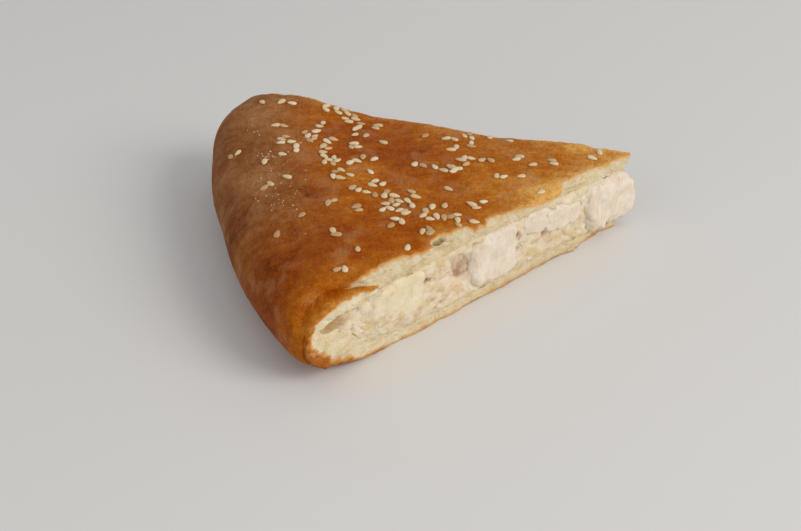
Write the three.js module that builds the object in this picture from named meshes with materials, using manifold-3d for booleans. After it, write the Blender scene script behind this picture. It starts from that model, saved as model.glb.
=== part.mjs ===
// A slice of a round chicken pie, one sixth of it: a yeast-dough lid sprinkled with sesame seeds, a base whose
// edge is folded in over the filling, and a filling of minced chicken with pieces of chicken and potato.
// Millimetres, +Z up. The slice rests flat on z = 0. Its point aims along +X and its baked rim along -X.
// The front cut faces -Y and the back cut +Y. The origin is the middle of the footprint's bounding box.
import * as THREE from "three";
import { mergeVertices } from "three/addons/utils/BufferGeometryUtils.js";
import Module from "manifold-3d";

const wasm = await Module();
wasm.setup();

// The pie
const SLICE_ANGLE = Math.PI / 3;
const HALF_ANGLE = SLICE_ANGLE / 2;
const GAP = 0.4; // clear space between touching layers and pieces

// Each layer is a band between two curves in the upright plane through the pie's centre. A rib joins the two:
// radius and height on the low curve, then radius and height on the high curve.
// The lid runs from the pie's centre over the rim and down the outside of the wall.
const LID_RIBS = [
  [1, 21.9, 1, 26.0],
  [20, 22.0, 20, 25.9],
  [40, 22.0, 40, 25.8],
  [60, 22.0, 60, 26.3],
  [80, 21.7, 80, 27.2],
  [97, 21.5, 98, 28.2],
  [106.5, 24.0, 107.5, 28.7],
  [114, 25.9, 115, 28.8],
  [123, 25.5, 124, 27.8],
  [130, 23.2, 131.2, 25.2],
  [134.3, 19.3, 136, 20.4],
  [136, 14.2, 137.8, 14.4],
  [135.5, 9.6, 136.9, 8.9],
  [134.2, 7.4, 135.2, 6.6],
];
// The base runs out along the bottom, up inside the lid and back over the filling as a folded edge.
const BASE_RIBS = [
  [5, 0, 5, 3.4],
  [22, 0, 22, 3.9],
  [40, 0, 40, 4.9],
  [60, 0, 60, 4.3],
  [80, 0, 80, 4.0],
  [96, 0, 97, 4.4],
  [108, 0.1, 107, 5.2],
  [118.5, 1.5, 113.5, 6.9],
  [127.5, 4.2, 118.4, 10.2],
  [132.8, 6.6, 121, 13.4],
  [135, 9.8, 125.5, 15.2],
  [135.6, 14.3, 130.4, 16.6],
  [133.8, 19.2, 129.8, 18.6],
  [129.3, 22.8, 126.3, 20.0],
  [122.5, 24.9, 119.5, 20.8],
  [113, 25.2, 112.5, 21.3],
  [107.6, 23.4, 108.2, 21.6],
];
const FILLING_RIBS = [
  [13, 4.6, 13, 21.0],
  [26, 5.0, 26, 21.2],
  [40, 5.8, 40, 21.3],
  [60, 5.2, 60, 21.4],
  [80, 4.9, 80, 21.0],
  [96, 5.2, 97, 20.8],
  [106, 6.0, 105.5, 21.0],
  [112.5, 7.2, 111.5, 20.4],
  [116.6, 9.8, 117.5, 19.9],
  [120.3, 13.8, 122.5, 19.2],
  [124, 16.0, 126, 18.2],
];

// The top is uneven: a low crown along the middle of the slice, a back edge that rises and dips on its way to the
// rim, and long waves in the dough.
const CROWN = 1.1;
const CROWN_REACH = 90; // radius by which the crown has grown to its full height
const BACK_EDGE_RISE = [0.7, 0.8, -1.4, -1.4, -1.8, 1.0, 2.6]; // at even steps of radius
const WAVE_HEIGHT = 0.35;
const WAVE_LENGTH = 34;
const TOP_LEVEL = 26; // level at which the unevenness counts in full, fading to none at the floor

// The rim isn't a true circle: how far out of it it lies, at even steps of angle from the front cut to the back.
const RIM_SHIFT = [-0.8, -2.1, -2.9, -3.5, -3.6, -1.3, 0.9, 3.4, -0.6];
const RIM_SHIFT_FROM = 60;
const RIM_RADIUS = 132;

// The cuts. The back one bends into the slice towards the rim, and each layer's face stands a little behind or
// before the knife's path.
const BACK_BEND = 5.5;
const TIP_FADE = 14; // radius below which a cut's unevenness dies out
const LID_SET_BACK = 0.7;
const FOLD_SHELF = 4.4; // the lid stands this much further back above the folded edge, at the front cut
const FOLD_SHELF_FROM = [109, 126]; // radii between which that shelf opens
const FOLD_SHELF_WALL = 0.5; // share of the shelf that is left down the wall
const FOLD_SHELF_LEVELS = [15, 24]; // heights between which it grows from that share to the whole
const HOLLOW_DEPTH = 2.4; // the filling stands back this far in the bend of the base, at the front cut
const HOLLOW_FROM = [115, 118.5];
const POINT_BROKEN = 1; // the base has crumbled away this far at the point
const POINT_BROKEN_FROM = [17, 31];
const CRUMB_DEPTH = 0.35;
const CRUMB_SIZE = 5;
const MINCE_DEPTH = 1.1;
const MINCE_SIZE = 4.2;
const TEAR = { radius: 86, height: 25.2, size: 3.4, depth: 3.2 }; // torn spot in the lid's front cut

// Pieces of chicken and potato in the filling. at: radius and height of the middle; size: along the cut, into the
// slice and upright; proud: how far the face stands out of the cut; tilt: degrees, point end up if positive.
const PIECES = [
  { name: "chicken_1", cut: "front", at: [62.6, 12.9], size: [18.4, 12, 16.6], proud: 0.9, tilt: -2 },
  { name: "chicken_2", cut: "front", at: [32.4, 15.4], size: [15, 9, 6.8], proud: 0.8, tilt: 8 },
  { name: "chicken_3", cut: "front", at: [43.8, 17.3], size: [11, 8, 6.4], proud: 0.3, tilt: 10 },
  { name: "chicken_4", cut: "front", at: [77, 15], size: [8, 8, 8], proud: -1.4, tilt: 20 },
  { name: "chicken_5", cut: "back", at: [41, 12.6], size: [17, 11, 14.5], proud: 0.7, tilt: 6 },
  { name: "chicken_6", cut: "back", at: [91, 13.8], size: [20, 12, 15], proud: 0.8, tilt: -5 },
  { name: "chicken_7", cut: "back", at: [110.5, 13.6], size: [11, 8, 8], proud: 0.4, tilt: 15 },
  { name: "potato_1", cut: "front", at: [101.2, 13.2], size: [19.6, 12, 15.8], proud: 0.4, tilt: -3 },
  { name: "potato_2", cut: "back", at: [66.5, 12.4], size: [15, 10, 12.5], proud: 0.5, tilt: 7 },
];
// The piece at the point fills both cuts and sticks out past the point, with a slope from its top down to there.
const POINT_PIECE = { middle: 9.5, height: 12.3, rise: 8.6, inward: 11, outward: 15.2, proud: 1.7, slope: 10.2 };
const PIECE_LUMP = 0.55;
const PIECE_LUMP_SIZE = 5;
const CORNER_SHARPNESS = 14;

// Sesame seeds, in patches: radius and angle of the middle, spread of the patch in millimetres, number of seeds.
const SEED = { length: 3.3, width: 1.9, thickness: 1.0, sunk: 0.12 };
const SEED_APART = 2.1; // least distance between two seeds' middles
const SEED_PATCHES = [
  ...[[116, 25, 2, 2], [122.5, 24, 0, 1], [101.5, 25.8, 1.9, 3], [96.5, 26.2, 2.2, 3], [92, 23.8, 2.4, 4]],
  ...[[89, 21.2, 2, 3], [84.3, 23, 1.8, 2], [88.2, 16.2, 1.8, 2], [101, 19.4, 1.5, 2], [114, 16.4, 2.2, 2]],
  ...[[105.5, 15.4, 2.4, 4], [113, 12, 2.1, 4], [105, 12.8, 1.8, 2], [98, 13.3, 2, 2], [108, 9, 1.6, 2]],
  ...[[99.8, 9.4, 2, 3], [90.6, 11.2, 1.7, 3], [114.4, 7.3, 0, 1], [99.5, 4.9, 2.6, 6], [92, 3.5, 1.5, 2]],
  ...[[85.4, 6.4, 2.4, 2], [98, 0, 2.6, 5], [87.8, -0.2, 0, 1], [120.8, 5.6, 0, 1], [130.5, 9, 4, 2]],
  ...[[115.8, 0.3, 0, 1], [124, -1.5, 2.4, 2], [81, 14.4, 0, 1], [106.5, -9, 4, 2], [116.4, -11.4, 0, 1]],
  ...[[97, -12.2, 3, 2], [94, -6.3, 2.2, 3], [87.5, -5.5, 1.8, 3], [87, -9.6, 2.2, 4], [84.3, -12.8, 1.8, 3]],
  ...[[88.8, -14.8, 2.2, 4], [85, -16.5, 1.6, 2], [88.2, -19.4, 1.6, 2], [92.8, -20.2, 0, 1], [78.7, -11.5, 2.2, 2]],
  ...[[81.3, -14, 2.2, 2], [80, -18.8, 2.6, 2], [75.2, -17.5, 1.4, 2], [77.2, -21.8, 1.8, 3], [84.4, -25, 1.8, 3]],
  ...[[110.3, -18.2, 1.2, 2], [126, -13.7, 0, 1], [108.2, -23.5, 0, 1], [94.7, -27.6, 0, 1], [118, -26.6, 2.6, 2]],
  ...[[72.4, -24.2, 2.6, 4], [71.2, -18.1, 0, 1], [63.8, -22, 1.8, 2], [59, -21, 0, 1], [65.3, -10.7, 0, 1]],
  ...[[68, 20.6, 0, 1], [60, 21.3, 1.8, 2], [54.8, 24, 1.8, 3], [52, 18, 2.6, 2], [58.5, 13.2, 1.8, 2]],
  ...[[70.5, 3.4, 2.8, 2], [65.3, 1, 2, 2], [60.3, -1, 2, 5], [55.4, 4.2, 2.2, 4], [48, 5.1, 1.7, 2]],
  ...[[38.1, 4.8, 1.4, 2], [33.9, -2.2, 0, 1], [27.6, 1.4, 3, 2], [47.5, -8, 1.6, 2], [40.3, -11.3, 0, 1]],
  ...[[40, -27, 0, 1], [68.7, -27.8, 0, 1], [44, 27, 3, 2], [13.8, -2.9, 0, 1], [10.7, 12, 0, 1]],
];
const SEED_DRAW = 7; // start of the random draws

// Colours
const crust = new THREE.MeshStandardMaterial({ color: 0xa5641f, roughness: 0.45, metalness: 0 });
const dough = new THREE.MeshStandardMaterial({ color: 0xdec99c, roughness: 0.8, metalness: 0 });
const mince = new THREE.MeshStandardMaterial({ color: 0xd6bf9c, roughness: 0.6, metalness: 0 });
const chicken = new THREE.MeshStandardMaterial({ color: 0xe2d2bf, roughness: 0.5, metalness: 0 });
const potato = new THREE.MeshStandardMaterial({ color: 0xe3d3a6, roughness: 0.5, metalness: 0 });

const clamp = (x) => Math.min(1, Math.max(0, x));
const smooth = (from, to, x) => {
  const t = clamp((x - from) / (to - from));
  return t * t * (3 - 2 * t);
};
const mix = (a, b, t) => a + (b - a) * t;

// A fixed pseudo-random value from 0 to 1 for a whole-numbered point.
function lattice(x, y, z) {
  let h = Math.imul(x, 374761393) ^ Math.imul(y, 668265263) ^ Math.imul(z, 974634777);
  h = Math.imul(h ^ (h >>> 13), 1274126177);
  return ((h ^ (h >>> 16)) >>> 0) / 4294967295;
}

// Smooth noise from -1 to 1 whose bumps are one unit wide.
function noise(x, y, z) {
  const [i, j, k] = [x, y, z].map(Math.floor);
  const [a, b, c] = [x - i, y - j, z - k].map((t) => t * t * (3 - 2 * t));
  const row = (dy, dz) => mix(lattice(i, j + dy, k + dz), lattice(i + 1, j + dy, k + dz), a);
  return 2 * mix(mix(row(0, 0), row(1, 0), b), mix(row(0, 1), row(1, 1), b), c) - 1;
}

// Repeatable random draws from 0 to 1.
function drawsFrom(start) {
  let state = start >>> 0;
  return () => {
    state = (Math.imul(state, 1664525) + 1013904223) >>> 0;
    return state / 4294967296;
  };
}

// Reads a row of values given at even steps, as a smooth curve, at a share from 0 to 1 of its length.
const readRow = (values) => {
  const curve = new THREE.SplineCurve(values.map((value, i) => new THREE.Vector2(i, value)));
  return (share) => curve.getPoint(clamp(share)).y;
};
const backEdgeRise = readRow(BACK_EDGE_RISE);
const rimShift = readRow(RIM_SHIFT);

// How much higher than its rib a point at this radius and angle lies.
function swell(radius, angle, height) {
  const across = angle / HALF_ANGLE;
  const crown =
    CROWN * (1 - across * across) * smooth(0, CROWN_REACH, radius) +
    backEdgeRise(radius / RIM_RADIUS) * clamp(across) ** 1.5;
  const x = (-radius * Math.cos(angle)) / WAVE_LENGTH;
  const y = (radius * Math.sin(angle)) / WAVE_LENGTH;
  return (crown + WAVE_HEIGHT * noise(x, y, 0.5)) * clamp(height / TOP_LEVEL);
}

function polar(radius, angle, height) {
  const shift = rimShift((angle / HALF_ANGLE + 1) / 2) * smooth(RIM_SHIFT_FROM, RIM_RADIUS, radius);
  const r = radius + shift;
  return new THREE.Vector3(-r * Math.cos(angle), r * Math.sin(angle), height + swell(radius, angle, height));
}

// How far the knife's path stands out of the flat cut, in millimetres.
function knife(radius, front) {
  return front ? 0 : -BACK_BEND * clamp((radius - RIM_SHIFT_FROM) / (RIM_RADIUS - RIM_SHIFT_FROM)) ** 1.4;
}

// How far each layer's cut face stands out of the knife's plane, in millimetres, at a radius and height.
function lidCut(radius, height, front) {
  const crumb = CRUMB_DEPTH * noise(radius / CRUMB_SIZE, height / CRUMB_SIZE, front ? 3 : 8);
  const share = mix(FOLD_SHELF_WALL, 1, smooth(...FOLD_SHELF_LEVELS, height));
  const shelf = front ? FOLD_SHELF * share * smooth(...FOLD_SHELF_FROM, radius) : 0;
  const away = Math.hypot(radius - TEAR.radius, height - TEAR.height) / TEAR.size;
  const tear = front ? TEAR.depth * (1 - smooth(0.3, 1, away)) : 0;
  return crumb - LID_SET_BACK - shelf - tear;
}

function baseCut(radius, height, front) {
  const broken = POINT_BROKEN * (1 - smooth(...POINT_BROKEN_FROM, radius));
  return CRUMB_DEPTH * noise(radius / CRUMB_SIZE, height / CRUMB_SIZE, front ? 13 : 18) - broken;
}

function fillingCut(radius, height, front) {
  const hollow = front ? HOLLOW_DEPTH * smooth(...HOLLOW_FROM, radius) : 0;
  return MINCE_DEPTH * noise(radius / MINCE_SIZE, height / MINCE_SIZE, front ? 23 : 28) - 0.2 - hollow;
}

// A layer: a box bent so that its length follows the ribs, its height goes across the band and its depth runs
// round the slice from the front cut to the back one. grow makes it thicker and its cuts prouder all round.
function layer(ribs, cut, [along, through, round], grow = 0) {
  const low = new THREE.SplineCurve(ribs.map((rib) => new THREE.Vector2(rib[0], rib[1])));
  const high = new THREE.SplineCurve(ribs.map((rib) => new THREE.Vector2(rib[2], rib[3])));
  const geometry = new THREE.BoxGeometry(1, 1, 1, along, through, round);
  const position = geometry.getAttribute("position");
  for (let i = 0; i < position.count; i++) {
    const u = clamp(position.getX(i) + 0.5);
    const v = clamp(position.getY(i) + 0.5);
    const w = clamp(position.getZ(i) + 0.5);
    const [a, b] = [low.getPoint(u), high.getPoint(u)];
    const rib = b.clone().sub(a).normalize();
    const at = a.lerp(b, v).addScaledVector(rib, grow * (2 * v - 1));
    const fade = Math.min(1, at.x / TIP_FADE);
    const first = -HALF_ANGLE - (fade * (knife(at.x, true) + cut(at.x, at.y, true) + grow)) / at.x;
    const last = HALF_ANGLE + (fade * (knife(at.x, false) + cut(at.x, at.y, false) + grow)) / at.x;
    const placed = polar(at.x, mix(first, last, w), at.y);
    position.setXYZ(i, placed.x, placed.y, Math.max(0, placed.z));
  }
  return geometry;
}

// three.js geometry to a solid and back.
function solid(geometry) {
  const bare = geometry.clone();
  bare.deleteAttribute("normal");
  bare.deleteAttribute("uv");
  const merged = mergeVertices(bare, 1e-3);
  const vertProperties = merged.getAttribute("position").array;
  const triVerts = new Uint32Array(merged.getIndex().array);
  return new wasm.Manifold(new wasm.Mesh({ numProp: 3, vertProperties, triVerts }));
}

function geometryOf(made) {
  const { vertProperties, triVerts } = made.getMesh();
  const geometry = new THREE.BufferGeometry();
  geometry.setAttribute("position", new THREE.BufferAttribute(vertProperties, 3));
  geometry.setIndex(new THREE.BufferAttribute(triVerts, 1));
  geometry.computeVertexNormals();
  return geometry;
}

// A cut can leave loose scraps, and crossed seeds a closed hollow under them: only the outer body is kept.
function largest(made) {
  return made.decompose().reduce((a, b) => (a.volume() > b.volume() ? a : b));
}

// A lumpy rounded block from its face planes: each face is a unit normal and its distance from the middle.
function block(middle, faces, grow = 0) {
  const geometry = mergeVertices(new THREE.IcosahedronGeometry(1, 2).deleteAttribute("normal").deleteAttribute("uv"));
  const position = geometry.getAttribute("position");
  const towards = new THREE.Vector3();
  for (let i = 0; i < position.count; i++) {
    towards.fromBufferAttribute(position, i).normalize();
    const nearness = faces.reduce(
      (sum, face) => sum + Math.max(0, towards.dot(face.normal) / face.distance) ** CORNER_SHARPNESS,
      0,
    );
    const reach = nearness ** (-1 / CORNER_SHARPNESS);
    const at = towards.clone().multiplyScalar(reach).add(middle);
    const lump = PIECE_LUMP * noise(...at.clone().divideScalar(PIECE_LUMP_SIZE).toArray());
    at.addScaledVector(towards, lump + grow);
    position.setXYZ(i, at.x, at.y, at.z);
  }
  return geometry;
}

const UP = new THREE.Vector3(0, 0, 1);

// Directions at a cut: along it from the pie's centre to the rim, and square out of it.
function cutDirections(cut) {
  const side = cut === "front" ? -1 : 1;
  const along = new THREE.Vector3(-Math.cos(HALF_ANGLE), side * Math.sin(HALF_ANGLE), 0);
  const out = new THREE.Vector3(Math.sin(HALF_ANGLE), side * Math.cos(HALF_ANGLE), 0);
  return { along, out };
}

function piece({ cut, at, size, proud, tilt }, grow = 0) {
  const { along, out } = cutDirections(cut);
  const turn = THREE.MathUtils.degToRad(tilt) * (cut === "front" ? -1 : 1);
  const across = along.clone().applyAxisAngle(out, turn);
  const upright = UP.clone().applyAxisAngle(out, turn);
  const middle = along
    .clone()
    .multiplyScalar(at[0])
    .addScaledVector(out, knife(at[0], cut === "front") + proud - size[1] / 2)
    .setZ(at[1] + swell(at[0], 0, at[1]) / 2);
  const faces = [across, out, upright].flatMap((normal, i) => [
    { normal, distance: size[i] / 2 },
    { normal: normal.clone().negate(), distance: size[i] / 2 },
  ]);
  return block(middle, faces, grow);
}

function pointPiece(grow = 0) {
  const { middle, height, rise, inward, outward, proud, slope } = POINT_PIECE;
  const toCut = middle * Math.sin(HALF_ANGLE) + proud;
  const faces = [
    { normal: cutDirections("front").out, distance: toCut },
    { normal: cutDirections("back").out, distance: toCut },
    { normal: new THREE.Vector3(-1, 0, 0), distance: inward },
    { normal: new THREE.Vector3(1, 0, 0), distance: outward },
    { normal: new THREE.Vector3(1, 0, 1).normalize(), distance: slope },
    { normal: UP, distance: rise },
    { normal: UP.clone().negate(), distance: rise },
  ];
  return block(new THREE.Vector3(-middle, 0, height), faces, grow);
}

// A point of the lid's crust at a radius and angle, and the direction square to the crust there.
const crustCurve = new THREE.SplineCurve(LID_RIBS.map((rib) => new THREE.Vector2(rib[2], rib[3])));
const SHOULDER = 10.6 / (LID_RIBS.length - 1); // share of the ribs before the crust turns under

function crustAt(radius, angle) {
  let [near, far] = [0, SHOULDER];
  for (let i = 0; i < 24; i++) {
    const middle = (near + far) / 2;
    if (crustCurve.getPoint(middle).x < radius) near = middle;
    else far = middle;
  }
  const at = crustCurve.getPoint(near);
  return polar(at.x, angle, at.y);
}

function crustNormal(radius, angle) {
  const outwards = crustAt(radius + 0.5, angle).sub(crustAt(radius - 0.5, angle));
  const round = crustAt(radius, angle + 0.01).sub(crustAt(radius, angle - 0.01));
  return round.cross(outwards).normalize();
}

// A seed: a flat drop, lying on the crust with its point turned to a drawn heading.
function seed(radius, angle, heading, scale) {
  const geometry = new THREE.SphereGeometry(1, 6, 2);
  const position = geometry.getAttribute("position");
  for (let i = 0; i < position.count; i++) {
    const taper = 1 - 0.3 * position.getX(i);
    position.setXYZ(
      i,
      (position.getX(i) * SEED.length * scale) / 2,
      (position.getY(i) * taper * SEED.width * scale) / 2,
      (position.getZ(i) * taper * SEED.thickness * scale) / 2,
    );
  }
  const normal = crustNormal(radius, angle);
  const turn = new THREE.Quaternion().setFromUnitVectors(UP, normal);
  const spin = new THREE.Quaternion().setFromAxisAngle(UP, heading);
  geometry.applyQuaternion(turn.multiply(spin));
  const at = crustAt(radius, angle).addScaledVector(normal, SEED.thickness / 2 - SEED.sunk - 0.2);
  return geometry.translate(at.x, at.y, at.z);
}

// Draws the seeds patch by patch, keeps them on the crust, and draws again where one would lie on another.
function seeds() {
  const draw = drawsFrom(SEED_DRAW);
  const places = [];
  const made = [];
  for (const [radius, degrees, spread, count] of SEED_PATCHES)
    for (let i = 0; i < count; i++) {
      let [r, angle, x, y] = [0, 0, 0, 0];
      for (let tries = 0; tries < 20; tries++) {
        const away = spread * Math.sqrt(-Math.log(1 - 0.9 * draw()));
        const heading = 2 * Math.PI * draw();
        const alongRadius = radius + away * Math.cos(heading);
        const edge = HALF_ANGLE - 2.6 / alongRadius;
        angle = THREE.MathUtils.degToRad(degrees) + (away * Math.sin(heading)) / alongRadius;
        angle = Math.min(edge, Math.max(-edge, angle));
        r = Math.min(132, Math.max(6, alongRadius));
        [x, y] = [r * Math.cos(angle), r * Math.sin(angle)];
        if (places.every((place) => Math.hypot(place[0] - x, place[1] - y) >= SEED_APART)) break;
      }
      places.push([x, y]);
      made.push(seed(r, angle, 2 * Math.PI * draw(), mix(0.85, 1.1, draw())));
    }
  return made;
}

// The solids
const LID_STEPS = [26, 2, 12];
const BASE_STEPS = [26, 2, 10];
const FILLING_STEPS = [30, 4, 5];

const lidSolid = solid(layer(LID_RIBS, lidCut, LID_STEPS));
const baseSolid = solid(layer(BASE_RIBS, baseCut, BASE_STEPS));
const doughRoom = solid(layer(LID_RIBS, lidCut, LID_STEPS, GAP)).add(
  solid(layer(BASE_RIBS, baseCut, BASE_STEPS, GAP)),
);

const root = new THREE.Group();
const slice = new THREE.Group();
root.add(slice);

function show(name, made, material) {
  const mesh = new THREE.Mesh(geometryOf(made), material);
  mesh.name = name;
  slice.add(mesh);
}

show("lid", largest(wasm.Manifold.union([lidSolid, ...seeds().map(solid)])), crust);
show("base", baseSolid, dough);

// Each piece leaves a gap to the dough and to the pieces before it, and the filling leaves one to them all.
let taken = doughRoom;

function settle(name, shape, material) {
  show(name, largest(solid(shape(0)).subtract(taken)), material);
  taken = taken.add(solid(shape(GAP)));
}

settle("chicken_point", pointPiece, chicken);
for (const spec of PIECES)
  settle(spec.name, (grow) => piece(spec, grow), spec.name.startsWith("potato") ? potato : chicken);
show("filling", largest(solid(layer(FILLING_RIBS, fillingCut, FILLING_STEPS)).subtract(taken)), mince);

// The footprint's middle becomes the origin.
const footprint = new THREE.Box3().setFromObject(slice);
slice.position.set(
  -(footprint.min.x + footprint.max.x) / 2,
  -(footprint.min.y + footprint.max.y) / 2,
  -footprint.min.z,
);

export default root;
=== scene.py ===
# %% [markdown]
# # A slice of chicken pie, built around its measured solids
# The slice is one sixth of a flat round pie. A browned lid of yeast dough lies over a filling of chicken
# and potato, and a base of the same dough comes up inside the lid and folds back over the filling at the
# rim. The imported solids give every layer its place. Here each layer gets the surface that the knife and
# oven left.

# %% The frame and the tools
import math
from types import SimpleNamespace

import bpy
import numpy as np
from mathutils import Matrix, Vector
from mathutils.bvhtree import BVHTree


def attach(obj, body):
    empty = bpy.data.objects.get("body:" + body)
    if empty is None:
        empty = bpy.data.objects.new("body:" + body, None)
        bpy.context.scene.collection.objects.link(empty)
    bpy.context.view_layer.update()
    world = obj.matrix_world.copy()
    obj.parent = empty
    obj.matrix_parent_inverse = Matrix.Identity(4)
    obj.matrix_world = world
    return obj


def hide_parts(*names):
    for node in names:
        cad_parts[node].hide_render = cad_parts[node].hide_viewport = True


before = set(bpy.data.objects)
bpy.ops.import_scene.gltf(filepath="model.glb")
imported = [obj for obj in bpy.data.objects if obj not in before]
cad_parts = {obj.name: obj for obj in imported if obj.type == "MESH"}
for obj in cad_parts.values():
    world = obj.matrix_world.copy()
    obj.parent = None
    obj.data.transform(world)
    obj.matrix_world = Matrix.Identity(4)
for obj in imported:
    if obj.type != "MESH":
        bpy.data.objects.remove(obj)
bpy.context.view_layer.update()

# %% [markdown]
# ## The slice's own measures
# All lengths here are millimetres, measured from the pie's centre, which is where the point of the slice
# is. A place in the slice is a radius, an angle from its middle line and a height. Two curves bound each
# layer, so a row of numbers gives a radius and a height below and a radius and a height above. Dough
# follows the same curves all round the pie, so this describes it better than a flat outline would.

# %% Measures
MM = 0.001
HALF_ANGLE = math.radians(30)
POINT_AT = np.array([66.196, 1.837, 0.0])  # where the pie's centre lies in the frame
TIP_FADE = 14  # nearer the centre than this, the relief of the cuts fades out
TOP_LEVEL = 26  # from this height up, the unevenness of the top counts in full
LID_RIBS = np.array([
    [3.2, 21.8, 0.5, 26.2], [20, 22.0, 20, 25.9], [40, 22.0, 40, 25.8], [60, 22.0, 60, 26.3],
    [80, 21.7, 80, 27.2], [97, 21.3, 98, 28.2], [106.5, 22.6, 107.5, 28.7], [114, 24.9, 115, 28.8],
    [123.2, 25.4, 124, 27.9], [130.4, 23.6, 131.4, 25.4], [134.8, 19.4, 136.2, 20.6],
    [136.0, 14.2, 137.8, 14.4], [135.4, 9.6, 136.9, 8.9], [134.2, 7.4, 135.2, 6.6],
])
BASE_RIBS = np.array([
    [5, 0, 5, 3.2], [22, 0, 22, 3.6], [40, 0, 40, 4.6], [60, 0, 60, 3.7], [80, 0, 80, 3.6],
    [96, 0, 97, 4.2], [108, 0.1, 107, 5.2], [118.5, 1.5, 113.5, 6.9], [127.5, 4.2, 118.4, 10.2],
    [132.8, 6.6, 121, 13.4], [135, 9.8, 125.5, 15.2], [135.8, 14.3, 130.4, 16.6],
    [134.6, 19.2, 129.8, 18.6], [130.8, 23.3, 126.3, 20.0], [124, 25.2, 119.5, 20.8],
    [114.5, 25.0, 112.8, 21.5], [108.9, 23.7, 109.1, 23.0],
])
# How the top rises or sinks towards the back edge, from the centre to the rim, and how sharply it does
BACK_EDGE_RISE, BACK_RISE_CURVE = np.array([0.7, 0.8, -1.4, -1.4, -1.8, 1.0, 2.6]), 1.5
# How much further out the rim lies than the rows say, from the front cut to the back one
RIM_SHIFT = np.array([-0.8, -2.1, -2.9, -3.5, -3.6, -1.3, 0.9, 3.4, -0.6])
RIM_SHIFT_FROM, RIM_RADIUS = 60, 132
CROWN, CROWN_REACH = 1.1, 90  # the top is this much higher along its middle, in full from this radius
WAVE_HEIGHT, WAVE_LENGTH = 0.35, 34  # broad waves in the top
BACK_BEND, BACK_BEND_CURVE = 5.5, 1.4  # the back cut bends inwards by this much at the rim

# %% [markdown]
# ## Noise, curves and the shape of the slice
# Bread and minced meat are uneven at every size. One repeatable noise, read at several sizes, gives that
# unevenness. It is worked out for whole arrays of points at once, which keeps the script quick.

# %% Noise
U32 = np.uint32


def lattice(x, y, z):
    """A fixed random value from 0 to 1 for each whole-numbered point."""
    h = (x * U32(374761393)) ^ (y * U32(668265263)) ^ (z * U32(974634777))
    h = (h ^ (h >> U32(13))) * U32(1274126177)
    return (h ^ (h >> U32(16))) / 4294967295.0


def cells(x, y, z):
    """Three coordinates of one shape, and the whole-numbered cell that each place lies in."""
    spot = np.broadcast_arrays(*(np.asarray(t, float) for t in (x, y, z)))
    return spot, [np.floor(t).astype(np.int64).astype(U32) for t in spot]


def noise(x, y, z):
    """Smooth noise from -1 to 1 whose bumps are one unit wide."""
    spot, (i, j, k) = cells(x, y, z)
    a, b, c = (t * t * (3 - 2 * t) for t in (s - np.floor(s) for s in spot))
    total = 0
    for di, wa in ((0, 1 - a), (1, a)):
        for dj, wb in ((0, 1 - b), (1, b)):
            for dk, wc in ((0, 1 - c), (1, c)):
                total = total + wa * wb * wc * lattice(i + U32(di), j + U32(dj), k + U32(dk))
    return 2 * total - 1


def rough(x, y, z, octaves=3):
    """Noise with finer and finer bumps added, each half as high as the last."""
    return sum(noise(x * 2**n, y * 2**n, z * 2**n + 7 * n) / 2**n for n in range(octaves))


def bubbles(x, y, z):
    """Distance to the nearest of some scattered points, one to each cell, and that point's own value."""
    asked, (i, j, k) = cells(x, y, z)
    nearest, value = np.full(asked[0].shape, 9.0), np.zeros(asked[0].shape)
    steps = (U32(4294967295), U32(0), U32(1))
    for di in steps:
        for dj in steps:
            for dk in steps:
                ci, cj, ck = i + di, j + dj, k + dk
                spot = [lattice(ci + U32(n), cj, ck + U32(n * 31)) for n in (11, 57, 93)]
                away = np.sqrt(sum((s + c.astype(np.int32) - t) ** 2
                                   for s, c, t in zip(spot, (ci, cj, ck), asked)))
                value = np.where(away < nearest, lattice(ci, cj + U32(5), ck), value)
                nearest = np.minimum(nearest, away)
    return nearest, value


def smooth(start, end, x):
    """Rises from 0 at the start to 1 at the end, with no corner at either."""
    t = np.clip((x - start) / (end - start), 0, 1)
    return t * t * (3 - 2 * t)


def stepped(start, steps, x):
    """A number that changes in soft steps: each row has where a step starts, where it ends, and its rise."""
    return start + sum(rise * smooth(low, high, x) for low, high, rise in steps)


def soft_spots(rows, x, y):
    """Sums soft round spots: each row has a place, a reach and, where it isn't 1, an amount."""
    total = np.zeros_like(x)
    for at_x, at_y, reach, amount in ((*row, 1)[:4] for row in rows):
        total = total + amount * np.exp(-(np.hypot(x - at_x, y - at_y) / reach) ** 2)
    return total


# %% Curves through rows of numbers
def curve(rows, share):
    """Reads rows given at even steps, as a smooth curve, at shares from 0 to 1 of its length."""
    last = len(rows) - 1
    spot = np.clip(share, 0, 1) * last
    i = np.minimum(np.floor(spot).astype(int), last - 1)
    t = spot - i
    t = t.reshape(t.shape + (1,) * (rows.ndim - 1))
    before, a, b, after = (rows[np.clip(i + n, 0, last)] for n in (-1, 0, 1, 2))
    leave, arrive = (b - before) / 2, (after - a) / 2
    bend, swing = 2 * a - 2 * b + leave + arrive, 3 * b - 3 * a - 2 * leave - arrive
    return bend * t**3 + swing * t**2 + leave * t + a


def knife(radius, front):
    """How far the knife's path stands out of the flat cut."""
    if front:
        return np.zeros_like(radius)
    share = np.clip((radius - RIM_SHIFT_FROM) / (RIM_RADIUS - RIM_SHIFT_FROM), 0, 1)
    return -BACK_BEND * share**BACK_BEND_CURVE


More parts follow.
